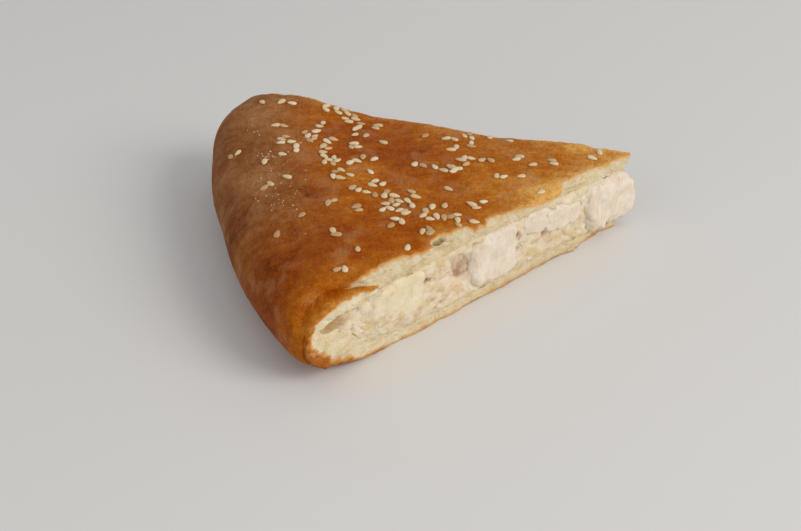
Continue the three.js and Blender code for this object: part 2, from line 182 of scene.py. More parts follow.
def polar(radius, angle, height):
    """Points in the slice, in millimetres from the pie's centre, with the top's unevenness."""
    across = angle / HALF_ANGLE
    crown = CROWN * (1 - across**2) * smooth(0, CROWN_REACH, radius)
    crown = crown + curve(BACK_EDGE_RISE, radius / RIM_RADIUS) * np.clip(across, 0, 1) ** BACK_RISE_CURVE
    x, y = -radius * np.cos(angle), radius * np.sin(angle)
    waves = WAVE_HEIGHT * noise(x / WAVE_LENGTH, y / WAVE_LENGTH, 0.5)
    lifted = height + (crown + waves) * np.clip(height / TOP_LEVEL, 0, 1)
    r = radius + curve(RIM_SHIFT, (across + 1) / 2) * smooth(RIM_SHIFT_FROM, RIM_RADIUS, radius)
    return np.stack([-r * np.cos(angle), r * np.sin(angle), lifted], -1)


# %% [markdown]
# ## A dense block bent into a layer
# Each dough layer is a closed block of small squares: along the curves, through the layer, and round from
# one cut to the other. Such a block has an edge where crust meets cut, so the two can look different on one
# closed mesh. Steps are small near the cuts, where the eye goes, and wide in between.

# %% The bent block
RAGGED_LENGTH, RAGGED_ROUND, RAGGED_THICKNESS = 4.5, 9, (0.8, 3)  # how the inner side of dough wanders
EVEN_STEPS = 0.35  # the share of the steps round the slice that is even


def block_faces(ids):
    """Outward squares on the six sides of a block of numbered points."""
    squares = []
    for axis in range(3):
        for end in (0, -1):
            side = np.take(ids, end, axis=axis)
            ring = np.stack([side[:-1, :-1], side[1:, :-1], side[1:, 1:], side[:-1, 1:]], -1).reshape(-1, 4)
            squares.append(ring[:, ::-1] if (end == 0) != (axis == 1) else ring)
    return np.concatenate(squares)


def steps_round(count):
    """Shares from one cut to the other, close together near both cuts."""
    t = np.linspace(0, 1, count)
    return EVEN_STEPS * t + (1 - EVEN_STEPS) * (0.5 - 0.5 * np.cos(np.pi * t))


def bent_block(ribs, cut, steps, grow_low=0, grow_high=0, edge=None, ragged=(0, 0)):
    """Points and faces of a layer, and where in the layer each point lies."""
    along, through, count = steps
    u, v, w = np.meshgrid(np.linspace(0, 1, along), np.linspace(0, 1, through), steps_round(count),
                          indexing="ij")
    shell = np.ones(u.shape, bool)
    shell[1:-1, 1:-1, 1:-1] = False
    ids = np.full(u.shape, -1)
    ids[shell] = np.arange(shell.sum())
    u, v, w = u[shell], v[shell], w[shell]
    low, high = curve(ribs[:, :2], u), curve(ribs[:, 2:], u)
    thick = np.linalg.norm(high - low, axis=1)
    rib = (high - low) / thick[:, None]
    wander = rough(low[:, 0] / RAGGED_LENGTH, RAGGED_ROUND * w, 2.5, 3) * smooth(*RAGGED_THICKNESS, thick)
    low = low - (grow_low + ragged[0] * wander)[:, None] * rib
    high = high + (grow_high + ragged[1] * wander)[:, None] * rib
    arc = 2 * HALF_ANGLE * high[:, 0]
    thinner, sink = edge(high, w * arc, (1 - w) * arc) if edge else (np.zeros_like(v), np.zeros_like(v))
    spot = low + (high - low) * (v * (1 - thinner))[:, None] - sink[:, None] * rib
    at = SimpleNamespace(along=u, through=v, radius=spot[:, 0], height=spot[:, 1], thick=thick,
                         under=thick * (1 - v), over=thick * v, on_cut=(w == 0) | (w == 1))
    fade = np.minimum(1, at.radius / TIP_FADE)
    proud = [knife(at.radius, front) + cut(at.radius, at.height, at.under, at.over, front)
             for front in (True, False)]
    first, last = -HALF_ANGLE - fade * proud[0] / at.radius, HALF_ANGLE + fade * proud[1] / at.radius
    at.angle = first + (last - first) * w
    at.from_front, at.from_back = at.radius * (at.angle - first), at.radius * (last - at.angle)
    at.from_edge = np.minimum(at.from_front, at.from_back)
    at.is_front = at.from_front < at.from_back
    points = polar(at.radius, at.angle, at.height)
    points[:, 2] = np.maximum(points[:, 2], 0)
    return points, block_faces(ids), at


def nearer(is_front, value):
    """A value that differs between the two cuts, each point taking its nearer cut's."""
    return np.where(is_front, value(True), value(False))


# %% Objects and their points
def placed(name, data):
    """An object in the scene that holds some data."""
    made = bpy.data.objects.new(name, data)
    bpy.context.scene.collection.objects.link(made)
    return made


def mesh_object(name, points, faces, **numbers):
    """A mesh from points in millimetres from the pie's centre, with some numbers for each point."""
    mesh = bpy.data.meshes.new(name)
    mesh.from_pydata(((points + POINT_AT) * MM).tolist(), [], faces.tolist())
    mesh.polygons.foreach_set("use_smooth", [True] * len(mesh.polygons))
    made = placed(name, mesh)
    store(made, **numbers)
    return made


def store(made, **numbers):
    """Keeps a number for each point on a mesh under each name."""
    for key, values in numbers.items():
        layer = made.data.attributes.new(key, "FLOAT", "POINT")
        layer.data.foreach_set("value", np.asarray(values, np.float32))


def triangles(made):
    """How many triangles an object's faces come to."""
    return sum(len(face.vertices) - 2 for face in made.data.polygons)


def read(made, key):
    """A mesh's point values under a key, three to a point."""
    values = np.zeros(3 * len(made.data.vertices))
    made.data.vertices.foreach_get(key, values)
    return values.reshape(-1, 3)


def places(made):
    """A mesh's points, in millimetres from the pie's centre."""
    return read(made, "co") / MM - POINT_AT


def put(made, points):
    """Moves a mesh's points to places in millimetres from the pie's centre."""
    made.data.vertices.foreach_set("co", ((points + POINT_AT) * MM).ravel())
    made.data.update()


# %% [markdown]
# ## The cut through dough
# A knife drags bread crumb. The cut is nearly flat, with shallow tears and open bubbles that were pressed
# flat in baking, so they are wider than high. Bubbles a millimetre or two across are modelled, and finer
# ones are left to the material.

# %% Crumb
BUBBLE_LENGTH, BUBBLE_HEIGHT, BUBBLE_DEPTH, BUBBLE_EDGE = 2.4, 1.1, 0.8, (0.12, 0.42)
BACK_ALONG, BACK_LEVEL = 11, 26


def crumb(radius, height, front, pits=1, relief=1):
    """The cut face of dough, out of the knife's path: tears, and bubbles that open inwards."""
    side = 3 if front else 8
    tears = 0.22 * rough(radius / 3.2, height / 1.7, side, 4)
    tears = tears + 0.28 * rough(radius / 11, height / 1.9, side + 2, 2)
    near, kind = bubbles(radius / BUBBLE_LENGTH, height / BUBBLE_HEIGHT, side + 0.5)
    open_bubbles = np.clip((kind - 0.5) / 0.5, 0, 1) * (1 - smooth(*BUBBLE_EDGE, near))
    return relief * tears - BUBBLE_DEPTH * pits * open_bubbles


def spots(rows, radius, height, front):
    """Soft round spots on a cut. On the back cut the same spots lie further out and upside down."""
    if not front:
        rows = [(row[0] + BACK_ALONG, BACK_LEVEL - row[1], *row[2:]) for row in rows]
    return soft_spots(rows, radius, height)


# %% [markdown]
# ## The lid
# The lid is a sheet of dough 4 to 5 mm thick, glazed and browned on top. Over the rim it thins to a skin
# that wraps down outside the folded base. At the front cut the skin stands back over the fold, and its edge
# is torn in one place.

# %% Where the lid's skin ends
LID_SET_BACK = 0.5  # how far the lid's cut stands behind the filling's
# Over the fold the front cut stands back as a shelf, and the lid thins and tucks in behind its edge
FOLD_SHELF, FOLD_SHELF_FROM = 3.6, (110, 124)
FOLD_SHELF_WALL, FOLD_SHELF_LEVELS = 0.22, (17, 24)
TUCK_REACH, TUCK_DEPTH, TUCK_FROM, TUCK_LEVELS = 3, 0.45, (115.5, 123), (17, 22)
TUCK_SHARE, TUCK_LOW = 0.95, 0.45
LID_THICKNESS = 5
TEARS = [(77.5, 25.2, 1.1, 1.0), (32, 25.4, 1.4, 1.2), (85, 25.6, 2.2, 0.9)]
HOLES = [
    # radius, distance from the front cut, reach along and across, and depth of each hole torn under the skin
    (85.0, 1.2, 1.4, 0.8, 3.2), (82.3, 2.0, 1.0, 0.65, 2.6), (79.6, 1.0, 1.2, 0.6, 1.0),
]
FRONT_SKIN = np.array([
    # radius, and how far the skin comes down the cut, or with a minus how far it broke away from the edge
    (0, 0.3), (8, 0.1), (13, -0.3), (20, -1.3), (28, -2.2), (31, -1.2), (33, 1.8), (38, 2.1), (42, 1.6),
    (47, 0.8), (50, 0.4), (55, -0.5), (61, -1.2), (64.5, -1), (66.5, 1.4), (68, -0.5), (70.5, 1.8),
    (72.5, -1.6), (77, -2.1), (84.5, -2), (87, 0.6), (89.5, 1), (92, 0.7), (97, -0.4), (101, -1),
    (107, -0.9), (111, -0.6), (114, 0.2), (117, 1.4), (120, 2.7), (123, 4.5), (126, 9),
])
BACK_SKIN_FROM, BACK_SKIN_REACH = (122, 128), 5


def skin(radius, front):
    """How far the browned skin comes down the cut, or with a minus how far it broke away from the edge."""
    if front:
        return np.interp(radius, *FRONT_SKIN.T) + 0.4 * rough(radius / 3, 0, 51, 4)
    drift = 0.2 + 1.1 * noise(radius / 11, 0, 55) + 0.35 * rough(radius / 3, 0, 57)
    return drift + BACK_SKIN_REACH * smooth(*BACK_SKIN_FROM, radius)


def lid_cut(radius, height, under, over, front):
    """The lid's cut face: crumb below, and a crust that frays at the very top."""
    fray = 0.18 * rough(radius / 1.6, height / 2, 31 if front else 37, 2) * (1 - smooth(0.2, 1.4, under))
    face = crumb(radius, height, front, smooth(0.3, 1.3, under), 1.35) + fray - LID_SET_BACK
    if not front:
        return face
    share = FOLD_SHELF_WALL + (1 - FOLD_SHELF_WALL) * smooth(*FOLD_SHELF_LEVELS, height)
    shelf = FOLD_SHELF * share * smooth(*FOLD_SHELF_FROM, radius)
    return face - shelf - spots(TEARS, radius, height, True)


def lid_edge(high, from_front, from_back):
    """Share by which the lid is thinner near a cut, and how deep it sinks into the fold."""
    radius, height = high.T
    over_fold = smooth(*TUCK_FROM, radius) * (TUCK_LOW + (1 - TUCK_LOW) * smooth(*TUCK_LEVELS, height))
    tuck = TUCK_SHARE * over_fold * np.exp(-((from_front / TUCK_REACH) ** 2))
    from_edge = np.minimum(from_front, from_back)
    lost = -nearer(from_front < from_back, lambda front: skin(radius, front)) - from_edge
    broken_off = smooth(-0.4, 0.5, lost) * (0.25 + 0.38 * np.clip(lost, 0, 3))
    rounded = 0.35 * np.exp(-from_edge / 0.8)
    return np.maximum(tuck, (broken_off + rounded) / LID_THICKNESS), TUCK_DEPTH * tuck


# %% Lid
LID_STEPS = 340, 14, 120  # along the curves, through the layer and round the slice

points, faces, at = bent_block(LID_RIBS, lid_cut, LID_STEPS, grow_low=0.5, edge=lid_edge, ragged=(0.6, 0))
top = at.through == 1
reach = nearer(at.is_front, lambda front: skin(at.radius, front))
depth = np.where(at.on_cut, at.under, np.where(top, -at.from_edge, 9))
depth = np.where((at.along == 1) & ~top, 0, depth)
bare = smooth(-1.5, 1.1, depth - reach)
broken = smooth(-0.5, 0.3, -at.from_edge - reach) * top
wrinkles = 0.07 * rough(*(points / 1.8).T)
dimples = 0.20 * rough(*(points / 8 + (0, 0, 3)).T)
points[:, 2] += top * (wrinkles + dimples)
points[:, 2] -= broken * 0.22 * rough(points[:, 0] / 1.4, points[:, 1] / 1.4, 6)
holes = 0
for radius, across, reach_along, reach_across, deep in HOLES:
    away = ((at.radius - radius) / reach_along) ** 2 + ((at.from_front - across) / reach_across) ** 2
    holes = holes + deep * np.exp(-away) * top
points[:, 2] -= holes
lid = mesh_object("pie_lid", points, faces, bare=np.maximum(bare, smooth(0.05, 0.4, holes)))
print("lid:", triangles(lid), "triangles")

# %% [markdown]
# Browning follows how the oven met the glaze: deepest over the middle of the slice and along the front cut,
# pale towards the point, and dull on the rim, where the glaze ran thin and the greyer tone is partly painted
# sheen. A few soft spots, each a place and a reach in millimetres, add up to that, some paler ones being
# painted sheen, and the material turns the sum into colour.

# %% How far each place has browned
BROWNING_AND_SHEEN = [
    # radius, degrees, reach, amount; the paler spots at (90, 0) and on the rim past radius 100 are painted
    # sheen
    (84, 2, 22, 0.22), (102, -19, 17, 0.20), (92, 22, 14, 0.10), (50, -14, 17, -0.20), (32, 8, 16, -0.06),
    (8, 0, 15, -0.22), (26, -14, 8, 0.10), (66, -16, 8, 0.08), (118, 10, 16, 0.06), (40, -28, 7, -0.46),
    (44, -26, 4, 0.1), (84, -29, 5, -0.15), (118, -27, 6, -0.12), (90, 0, 9, -0.26), (75, -6, 6, -0.20),
    (63, -5, 7, 0.15), (75, 9, 8, 0.11), (62, 12, 8, 0.04), (33, -20, 7, -0.20), (110, -5, 7, 0.08),
    (124, -17, 13, 0.26), (132, -7, 8, 0.34), (121, 1, 7, -0.25), (124, 20, 9, -0.25), (35, -12, 7, 0.12),
    (136, -22, 12, 0.28), (134, 14, 14, 0.04), (60, -26, 6, 0.10),
]
EVEN_BAKE, PALE_EDGE, PALE_EDGE_TO = 0.50, 0.36, 112
# On the rim the dull share is partly the thin glaze and partly painted sheen: the greyer matt tones stand for
# the sky's reflection there
DULL, DULL_MORE, DULL_FROM, DULL_ANGLES = 0.05, 0.85, (96, 124), (-0.56, 0.05)


def browning_and_sheen(points):
    """How far the lid has browned, from 0 to 1, with some painted sheen: an even browning, unevenness and
    soft spots.
    """
    rows = [(-radius * math.cos(math.radians(turn)), radius * math.sin(math.radians(turn)), *rest)
            for radius, turn, *rest in BROWNING_AND_SHEEN]
    uneven = 0.10 * rough(points[:, 0] / 22, points[:, 1] / 22, 9)
    return np.clip(EVEN_BAKE + uneven + soft_spots(rows, points[:, 0], points[:, 1]), 0, 1)


fade = 1.8 + 0.8 * smooth(88, 80, at.radius)
near_bare = np.exp(-np.maximum(reach - depth, 0) / fade) * (at.radius < PALE_EDGE_TO)
store(lid, bake=np.clip(browning_and_sheen(points) - PALE_EDGE * near_bare, 0, 1),
      dull=DULL + DULL_MORE * smooth(*DULL_FROM, at.radius) * smooth(*DULL_ANGLES, at.angle),
      # In the torn holes the stored value is raised far past the crumb's own moistness: painted shade inside
      # the holes
      moist=0.42 + 0.9 * np.minimum(holes, 1.5))

# %% [markdown]
# ## The base
# The base is thicker dough. Its underside browned in the tin, its inside stayed pale and moist, and the
# fold's upper side browned where it touched the hot lid. At the point it has crumbled away.

# %% Base
BASE_STEPS = 460, 14, 56
POINT_BROKEN, POINT_BROKEN_FROM = 1, (17, 31)  # depth lost at the point, and the radii where it ends
# A shallow hollow in the fold at the front cut
BOWL_DEPTH, BOWL_AT, BOWL_REACH, BOWL_TOP = 2.2, (126, 17), (6.5, 4.2), (17.8, 18.6)
CRUMBLED = [(26, 1.6, 3.2, 1.2), (12, 2.5, 2.5, -1.5), (86, 0.5, 3, -0.5), (129, 7, 4, 0.5)]
CRUMBLED_BACK = 9  # how much further out the same crumbs lie at the back cut
CORNER_AT, CORNER_REACH = 0.53, 0.07  # the rim's lowest outer corner, as shares of the base's curve
# A value at the point, then steps along the base's curve: start, end and rise
CRUST_REACH = 0.6, [(0.30, 0.42, 0.35), (0.46, 0.52, 1.0), (0.64, 0.74, -1.0), (0.66, 0.75, 0.5),
                    (0.92, 0.975, 1.1)]
CRUST_BLUR = 1, [(0.93, 0.98, -0.6)]
TIP_PALE = 1, [(0.984, 1, -0.5)]
BASE_BAKE = 0.08, [(0.36, 0.50, 0.34), (0.965, 0.995, -0.25)]
BASE_DULL = 0.7, [(0.22, 0.40, -0.45), (0.66, 0.75, -0.2)]
BASE_MOIST = 0.55, [(0.1, 0.3, -0.3), (0.32, 0.42, -0.25)]


def base_cut(radius, height, under, over, front):
    """The base's cut face, with a few crumbs that stick out of it or have fallen off."""
    broken = POINT_BROKEN * (1 - smooth(*POINT_BROKEN_FROM, radius))
    lumps = soft_spots(CRUMBLED, radius - (0 if front else CRUMBLED_BACK), height)
    away = ((radius - BOWL_AT[0]) / BOWL_REACH[0]) ** 2 + ((height - BOWL_AT[1]) / BOWL_REACH[1]) ** 2
    bowl = BOWL_DEPTH * np.exp(-away) * (1 - smooth(*BOWL_TOP, height)) * front
    return crumb(radius + 40, height, front, 0.6) - broken + lumps - bowl


points, faces, at = bent_block(BASE_RIBS, base_cut, BASE_STEPS, grow_low=0.1, grow_high=0.3, ragged=(0, 0.6))
corner = np.exp(-(((at.along - CORNER_AT) / CORNER_REACH) ** 2))
reach = stepped(*CRUST_REACH, at.along) + 1.5 * corner
reach = reach * (1 + 0.6 * rough(at.radius / 3, at.height / 3, 71))
reach = reach - np.maximum(reach - 0.5 * at.thick, 0) * smooth(0.90, 0.95, at.along)
blur = stepped(*CRUST_BLUR, at.along)
baked = 1 - smooth((-1.1 - 0.4 * corner) * blur, (1.0 + 1.2 * corner) * blur, at.over - reach)
baked = baked * stepped(*TIP_PALE, at.along)
grit = 0.10 + 0.28 * corner * (at.through < 0.4)
points += grit[:, None] * np.stack([rough(*(points / 1.8 + k).T) for k in (5, 9, 13)], -1)
points[:, 2] = np.maximum(points[:, 2], 0)
fold_edge = smooth(0.70, 0.80, at.along) * (0.25 * smooth(0, 4, at.from_edge) - 0.05)
bake = stepped(*BASE_BAKE, at.along) + fold_edge + 0.18 * rough(*(points / 3).T)
base = mesh_object("pie_base", points, faces, bare=1 - baked, bake=np.clip(bake, 0, 1),
                   dull=stepped(*BASE_DULL, at.along), moist=stepped(*BASE_MOIST, at.along))
print("base:", triangles(base), "triangles")

# %% [markdown]
# ## Meat, potato and mince, grown from their solids
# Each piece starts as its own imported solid, so it sits exactly where that solid does. A voxel remesh turns
# the solid's few large triangles into an even skin of small ones, smoothing takes the facets away, and
# noise then gives each food its own surface. Sculpting by hand would look as good but couldn't be repeated.

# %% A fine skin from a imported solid
CUT_OUT = {front: np.array([math.sin(HALF_ANGLE), side * math.cos(HALF_ANGLE), 0])  # out of each cut
           for front, side in ((True, -1), (False, 1))}
PLANED_PROUD, PLANED_UNEVEN = 0.1, 0.12


def twin(source, name):
    """An object of its own with a copy of another's mesh."""
    return placed(name, source.data.copy())


def settle(made):
    """Applies every modifier and leaves a plain mesh."""
    result = bpy.data.meshes.new_from_object(made.evaluated_get(bpy.context.evaluated_depsgraph_get()))
    made.modifiers.clear()
    made.data = result
    result.name = made.name
    result.polygons.foreach_set("use_smooth", [True] * len(result.polygons))
    return made


def fine_skin(node, name, voxel, rounds):
    """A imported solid's copy with its loose corners merged, remeshed finely and smoothed."""
    made = twin(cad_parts[node], name)
    made.data.materials.clear()
    made.modifiers.new("weld", "WELD").merge_threshold = 0.00001
    remesh = made.modifiers.new("remesh", "REMESH")
    remesh.mode = "VOXEL"
    remesh.voxel_size = voxel * MM
    relax = made.modifiers.new("relax", "SMOOTH")
    relax.factor = 0.5
    relax.iterations = rounds
    return settle(made)


def standing(points, front):
    """How far each point stands out of one cut."""
    return points @ CUT_OUT[front] - knife(np.hypot(points[:, 0], points[:, 1]), front)


def sunk(points):
    """How far each point lies behind the nearer cut."""
    return -np.maximum(standing(points, True), standing(points, False))


def swell(made, height):
    """Moves each point along its normal by a height in millimetres."""
    put(made, places(made) + read(made, "normal") * height[:, None])


def sliced(made, node, growth):
    """Grows a piece, then planes its cut face back to the solid's, with the crisp edges of a knife."""
    solid = np.array([v.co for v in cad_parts[node].data.vertices]) / MM - POINT_AT
    front = np.mean(solid, axis=0)[1] < 0
    proud = max(standing(solid, front)) + PLANED_PROUD
    swell(made, growth)
    points = places(made)
    over = standing(points, front) - proud - PLANED_UNEVEN * rough(*(points / 3).T)
    put(made, points - np.maximum(over, 0)[:, None] * CUT_OUT[front])


# %% [markdown]
# Chicken breast is a bundle of fibres. Cut across it shows a fine grain, and cut along it shows long
# strands. The noise is stretched six times along the fibre to draw them.

# %% Chicken
FIBRES = {
    # direction of the fibres in each piece
    "chicken_point": (0.3, 0.2, 1), "chicken_1": (0.25, 0, 1), "chicken_2": (1, 0.2, 0.3),
    "chicken_3": (1, 0.3, -0.2), "chicken_4": (0.2, 1, 0.4), "chicken_5": (0.5, -0.2, 1),
    "chicken_6": (-0.3, 0.2, 1), "chicken_7": (1, -0.4, 0.5),
}
TORN_PIECES = ("chicken_2", "chicken_3", "chicken_4")
GROWTH, STRANDS = 0.30, 0.16
LUMPS_AND_GRAINS = {True: (0.8, 0.4), False: (0.5, 0.22)}  # for torn pieces, and for whole ones
SLICED, GRAINY = {"chicken_4": 0.9}, {"chicken_4": 0.5}  # more growth and grain than SLICED_MOST, GRAINY_MOST
SLICED_MOST, GRAINY_MOST = 0.4, 0.06
FRINGE_DEPTH, FRINGE_LEVELS = 1.8, (9.5, 5)
TUFT_AT, TUFT_REACH, TUFT_OUT = (4.6, 2.4, 11.5), 3.2, (1.7, 1.0, 0.2)


def fibre_axes(direction):
    """The fibre's direction and two more across it, as rows."""
    fibre = Vector(direction).normalized()
    side = fibre.orthogonal().normalized()
    return np.array([fibre, side, fibre.cross(side)])


def fringed(points):
    """Loose fibre ends along the lower edge of the piece at the point, and one tuft that sticks out."""
    ends = np.clip(rough(points[:, 0] / 1.6, points[:, 1] / 4, points[:, 2] / 9 + 2, 2), 0, 1)
    points[:, 2] -= FRINGE_DEPTH * ends * smooth(*FRINGE_LEVELS, points[:, 2])
    near = np.exp(-np.sum((points - TUFT_AT) ** 2, axis=1) / TUFT_REACH**2)
    return points + near[:, None] * np.array(TUFT_OUT)


chicken = []
for node, direction in FIBRES.items():
    meat = fine_skin(node, node + "_meat", 0.4, 6)
    across = places(meat) @ fibre_axes(direction).T
    strands = rough(*(across / (6, 1.3, 1.3)).T)
    lumps = rough(*(across / (7, 4, 4) + (0, 0, 20)).T, 2)
    grains = rough(*(places(meat) / 2.2).T)
    lumpy, grainy = LUMPS_AND_GRAINS[node in TORN_PIECES]
    growth = GROWTH + STRANDS * strands + lumpy * lumps + grainy * grains
    if node == "chicken_point":
        swell(meat, growth + STRANDS * strands)
        put(meat, fringed(places(meat)))
    else:
        sliced(meat, node, growth + SLICED.get(node, SLICED_MOST))
        swell(meat, 0.12 * strands + GRAINY.get(node, GRAINY_MOST) * grains)
    store(meat, sunk=sunk(places(meat)))
    chicken.append((node, meat))
print("chicken:", [(node, triangles(meat)) for node, meat in chicken])

# %% Potato
potato = []
for node in ("potato_1", "potato_2"):
    cube = fine_skin(node, node + "_cube", 0.45, 5)
    sliced(cube, node, 0.45 + 0.3 * rough(*(places(cube) / 5).T))
    swell(cube, 0.05 * rough(*(places(cube) / 1.5).T))
    store(cube, sunk=sunk(places(cube)))
    potato.append((node, cube))
print("potato:", [(node, triangles(cube)) for node, cube in potato])

# %% [markdown]
# ## The mince
# The rest of the filling is chicken chopped small, with soft onion, pressed together in baking. It fills
# the whole space between the doughs, so it is a bent block too, and the larger pieces stick out of its
# cuts. Each lump is one cell of scattered points. The same cell gives the lump its height and its colour,
# so they agree.

# %% Mince
FILLING_RIBS = np.array([
    [13, 4.6, 13, 21.0], [26, 5.0, 26, 21.2], [40, 5.8, 40, 21.3], [60, 5.2, 60, 21.4], [80, 4.9, 80, 21.0],
    [96, 5.2, 97, 20.8], [106, 6.0, 105.5, 21.0], [112.5, 7.2, 111.5, 20.4], [116.6, 9.8, 117.5, 19.9],
    [120.3, 13.4, 122.5, 19.2], [129.5, 16.4, 131, 17.8],
])
# Hollows in the mince at the rim, as place, reach and depth
CAVITY = [(127, 17.6, 6.5, 1.5), (123, 16, 3, 0.4)]
EDGE_SUNK_TOP, EDGE_SUNK_LOW, EDGE_SUNK_REACH = 1.1, 0.15, (-0.6, 1.3)
PIT_DEPTH, PIT_MARGIN = 1.3, (-0.4, 1.6)
PITS = [
    # radius, height, reach and depth of each gap between the lumps
    (76, 13, 2.2, 1.5), (76.8, 16.6, 3.2, 1.6), (73.6, 14.0, 1.6, 1.2), (89.9, 16.2, 0.9, 1.6),
    (87.9, 8.1, 0.8, 1.4), (51.9, 15.9, 0.9, 1.6), (52.8, 11.4, 0.8, 1.3), (45.6, 18.4, 1.1, 1.6),
    (40.6, 20.6, 1.0, 1.3), (40.6, 11.7, 1.2, 1.7), (36.4, 11.7, 1.2, 1.2), (24, 15.5, 1.1, 1.4),
    (18.7, 5.6, 1.0, 1.3), (119.4, 12.3, 0.9, 1.0), (109, 18.6, 1.3, 1.0), (84, 5.6, 1.0, 0.9),
    (70.5, 20.6, 1.2, 1.0),
    # with a minus: lumps that hang over the edges of the larger pieces
    (110.8, 13, 1.8, -0.7), (109.5, 10, 2.0, -0.8), (106.5, 7.6, 2.0, -0.75), (105, 11.2, 2.3, -0.8),
    (101, 10.2, 1.8, -0.75), (108.5, 13.4, 2.0, -0.7), (97.5, 8, 2.0, -0.75), (94.5, 6.4, 1.6, -0.6),
    (49.5, 14.3, 1.5, -0.8), (43, 12.0, 1.7, -0.8), (36.5, 19.8, 1.5, -0.7), (46, 20.4, 1.6, -0.7),
    (30, 19.4, 1.6, -0.6), (57.5, 8.8, 1.7, -0.8), (66, 7.8, 1.8, -0.6), (70.8, 16, 1.2, -0.6),
]
ONION = [
    # radius, height and reach of each yellow or browned bit, and an amount where it isn't 1; the last row, at
    # the rim's hollow, is no onion: it paints the hollow tan, partly the dough's colour and partly painted
    # shade under the fold
    (105, 22.4, 1.2), (105.2, 10.9, 0.9), (101.1, 10.3, 0.8), (77.9, 8.9, 2.1), (84.6, 19.8, 1.9),
    (63.3, 21.2, 1.1), (58.3, 18.4, 1.1), (29.2, 17, 1.6), (47, 8, 1.5), (113.5, 12, 1.3), (88, 12.8, 1.1),
    (34, 8.4, 1.4), (127, 18.5, 4.5, 1.7),
]
SCRAPS = [
    # radius, height, reach and depth of colour of each scrap of darker meat round the gaps
    (74.6, 15.2, 2.6, 1.0), (73.8, 11.2, 1.8, 0.8), (76.4, 18.6, 2.0, 0.5), (72.6, 18.4, 1.2, 0.5),
    (46.4, 17.6, 1.8, 0.8), (52.0, 16.0, 1.7, 0.8), (41.4, 20.4, 1.8, 0.7), (41.0, 11.8, 1.8, 0.9),
    (36.6, 12.2, 1.7, 0.7), (44.0, 15.0, 2.0, 0.5), (27.0, 11.4, 1.6, 0.5), (24.2, 15.6, 1.6, 0.6),
    (31.0, 12.4, 1.8, 0.4), (19.0, 6.0, 1.6, 0.5), (33.0, 20.6, 1.4, 0.6), (52.5, 11.0, 1.3, 0.6),
]


def lumps_at(radius, height, front):
    """Height and kind of the lump at a place on a cut: chopped meat, with long shreds among it."""
    side = 2.5 if front else 6.5
    bend = 0.9 * noise(radius / 5, height / 5, side), 0.9 * noise(radius / 5, height / 5, side + 9)
    near, kind = bubbles((radius + bend[0]) / 3.3, (height + bend[1]) / 2.5, side)
    lean = radius * 0.8 + height * 0.6, height * 0.8 - radius * 0.6
    shred_near, shred_kind = bubbles(lean[0] / 6, lean[1] / 1.5, side + 3)
    fine_near, fine_kind = bubbles(radius / 1.5, height / 1.3, side + 5)
    shredded = smooth(-0.1, 0.35, noise(radius / 9, height / 9, side + 4))
    coarse = 0.55 * (kind - 0.5) + 0.35 * (1 - (near / 0.85) ** 2)
    long = 0.5 * (shred_kind - 0.5) + 0.30 * (1 - (shred_near / 0.8) ** 2)
    out = coarse + (long - coarse) * shredded + 0.16 * (fine_kind - 0.5) + 0.12 * (1 - fine_near)
    return out, np.where(shredded > 0.5, shred_kind, kind), fine_kind


def mince_cut(radius, height, under, over, front):
    """The mince's cut face: lumps, gaps between them, a cavity at the rim, and edges that sank in baking."""
    inside = smooth(*PIT_MARGIN, under) * smooth(*PIT_MARGIN, over)
    relief = lumps_at(radius, height, front)[0] - 0.3
    low = spots(CAVITY, radius, height, front) * front
    out = (1 - 0.6 * np.clip(low, 0, 1)) * relief - PIT_DEPTH * inside * spots(PITS, radius, height, front)
    sunk_top = EDGE_SUNK_TOP * (1 - smooth(*EDGE_SUNK_REACH, under))
    return out - low - sunk_top - EDGE_SUNK_LOW * (1 - smooth(*EDGE_SUNK_REACH, over))


points, faces, at = bent_block(FILLING_RIBS, mince_cut, (330, 54, 20), grow_low=1.3, grow_high=1.1)
told = nearer(at.is_front, lambda front: np.stack(lumps_at(at.radius, at.height, front)))
bits, scraps = (nearer(at.is_front, lambda front: spots(rows, at.radius, at.height, front))
                for rows in (ONION, SCRAPS))
mince = mesh_object("minced_filling", points, faces, lump=told[0], kind=told[1], fine=told[2], onion=bits,
                    scrap=scraps, sunk=sunk(points),
                    doughy=np.maximum(1 - smooth(-0.2, 2, at.under), 1 - smooth(-0.2, 2, at.over)))
print("mince:", triangles(mince), "triangles")

# %% [markdown]
# ## Sesame seeds
# A sesame seed is a flat drop about 3.3 mm long. A handful was thrown at the glazed dough, so the seeds lie
# in drifts. The drifts are a rule with drawn places. Geometry Nodes set a seed on each place, flat on the
# crust.

# %% Helpers for every node tree
def connect(tree, node, inputs):
    """Sets or links a node's inputs."""
    for key, value in inputs.items():
        if isinstance(value, bpy.types.NodeSocket):
            tree.links.new(value, node.inputs[key])
        else:
            node.inputs[key].default_value = value


def add(tree, kind, inputs=None, stops=(), **settings):
    """Adds a node with its properties and inputs, and gives a ramp its stops, each a place and a colour."""
    node = tree.nodes.new(kind)
    for key, value in settings.items():
        setattr(node, key, value)
    connect(tree, node, inputs or {})
    marks = node.color_ramp.elements if stops else []
    while len(marks) < len(stops):
        marks.new(0.5)
    for mark, (place, code) in zip(marks, stops):
        mark.position = place
        mark.color = linear(code)
    return node


def linear(code):
    """An sRGB hex colour as linear light."""
    parts = [int(code[i:i + 2], 16) / 255 for i in (1, 3, 5)]
    return tuple(p / 12.92 if p <= 0.04045 else ((p + 0.055) / 1.055) ** 2.4 for p in parts) + (1.0,)


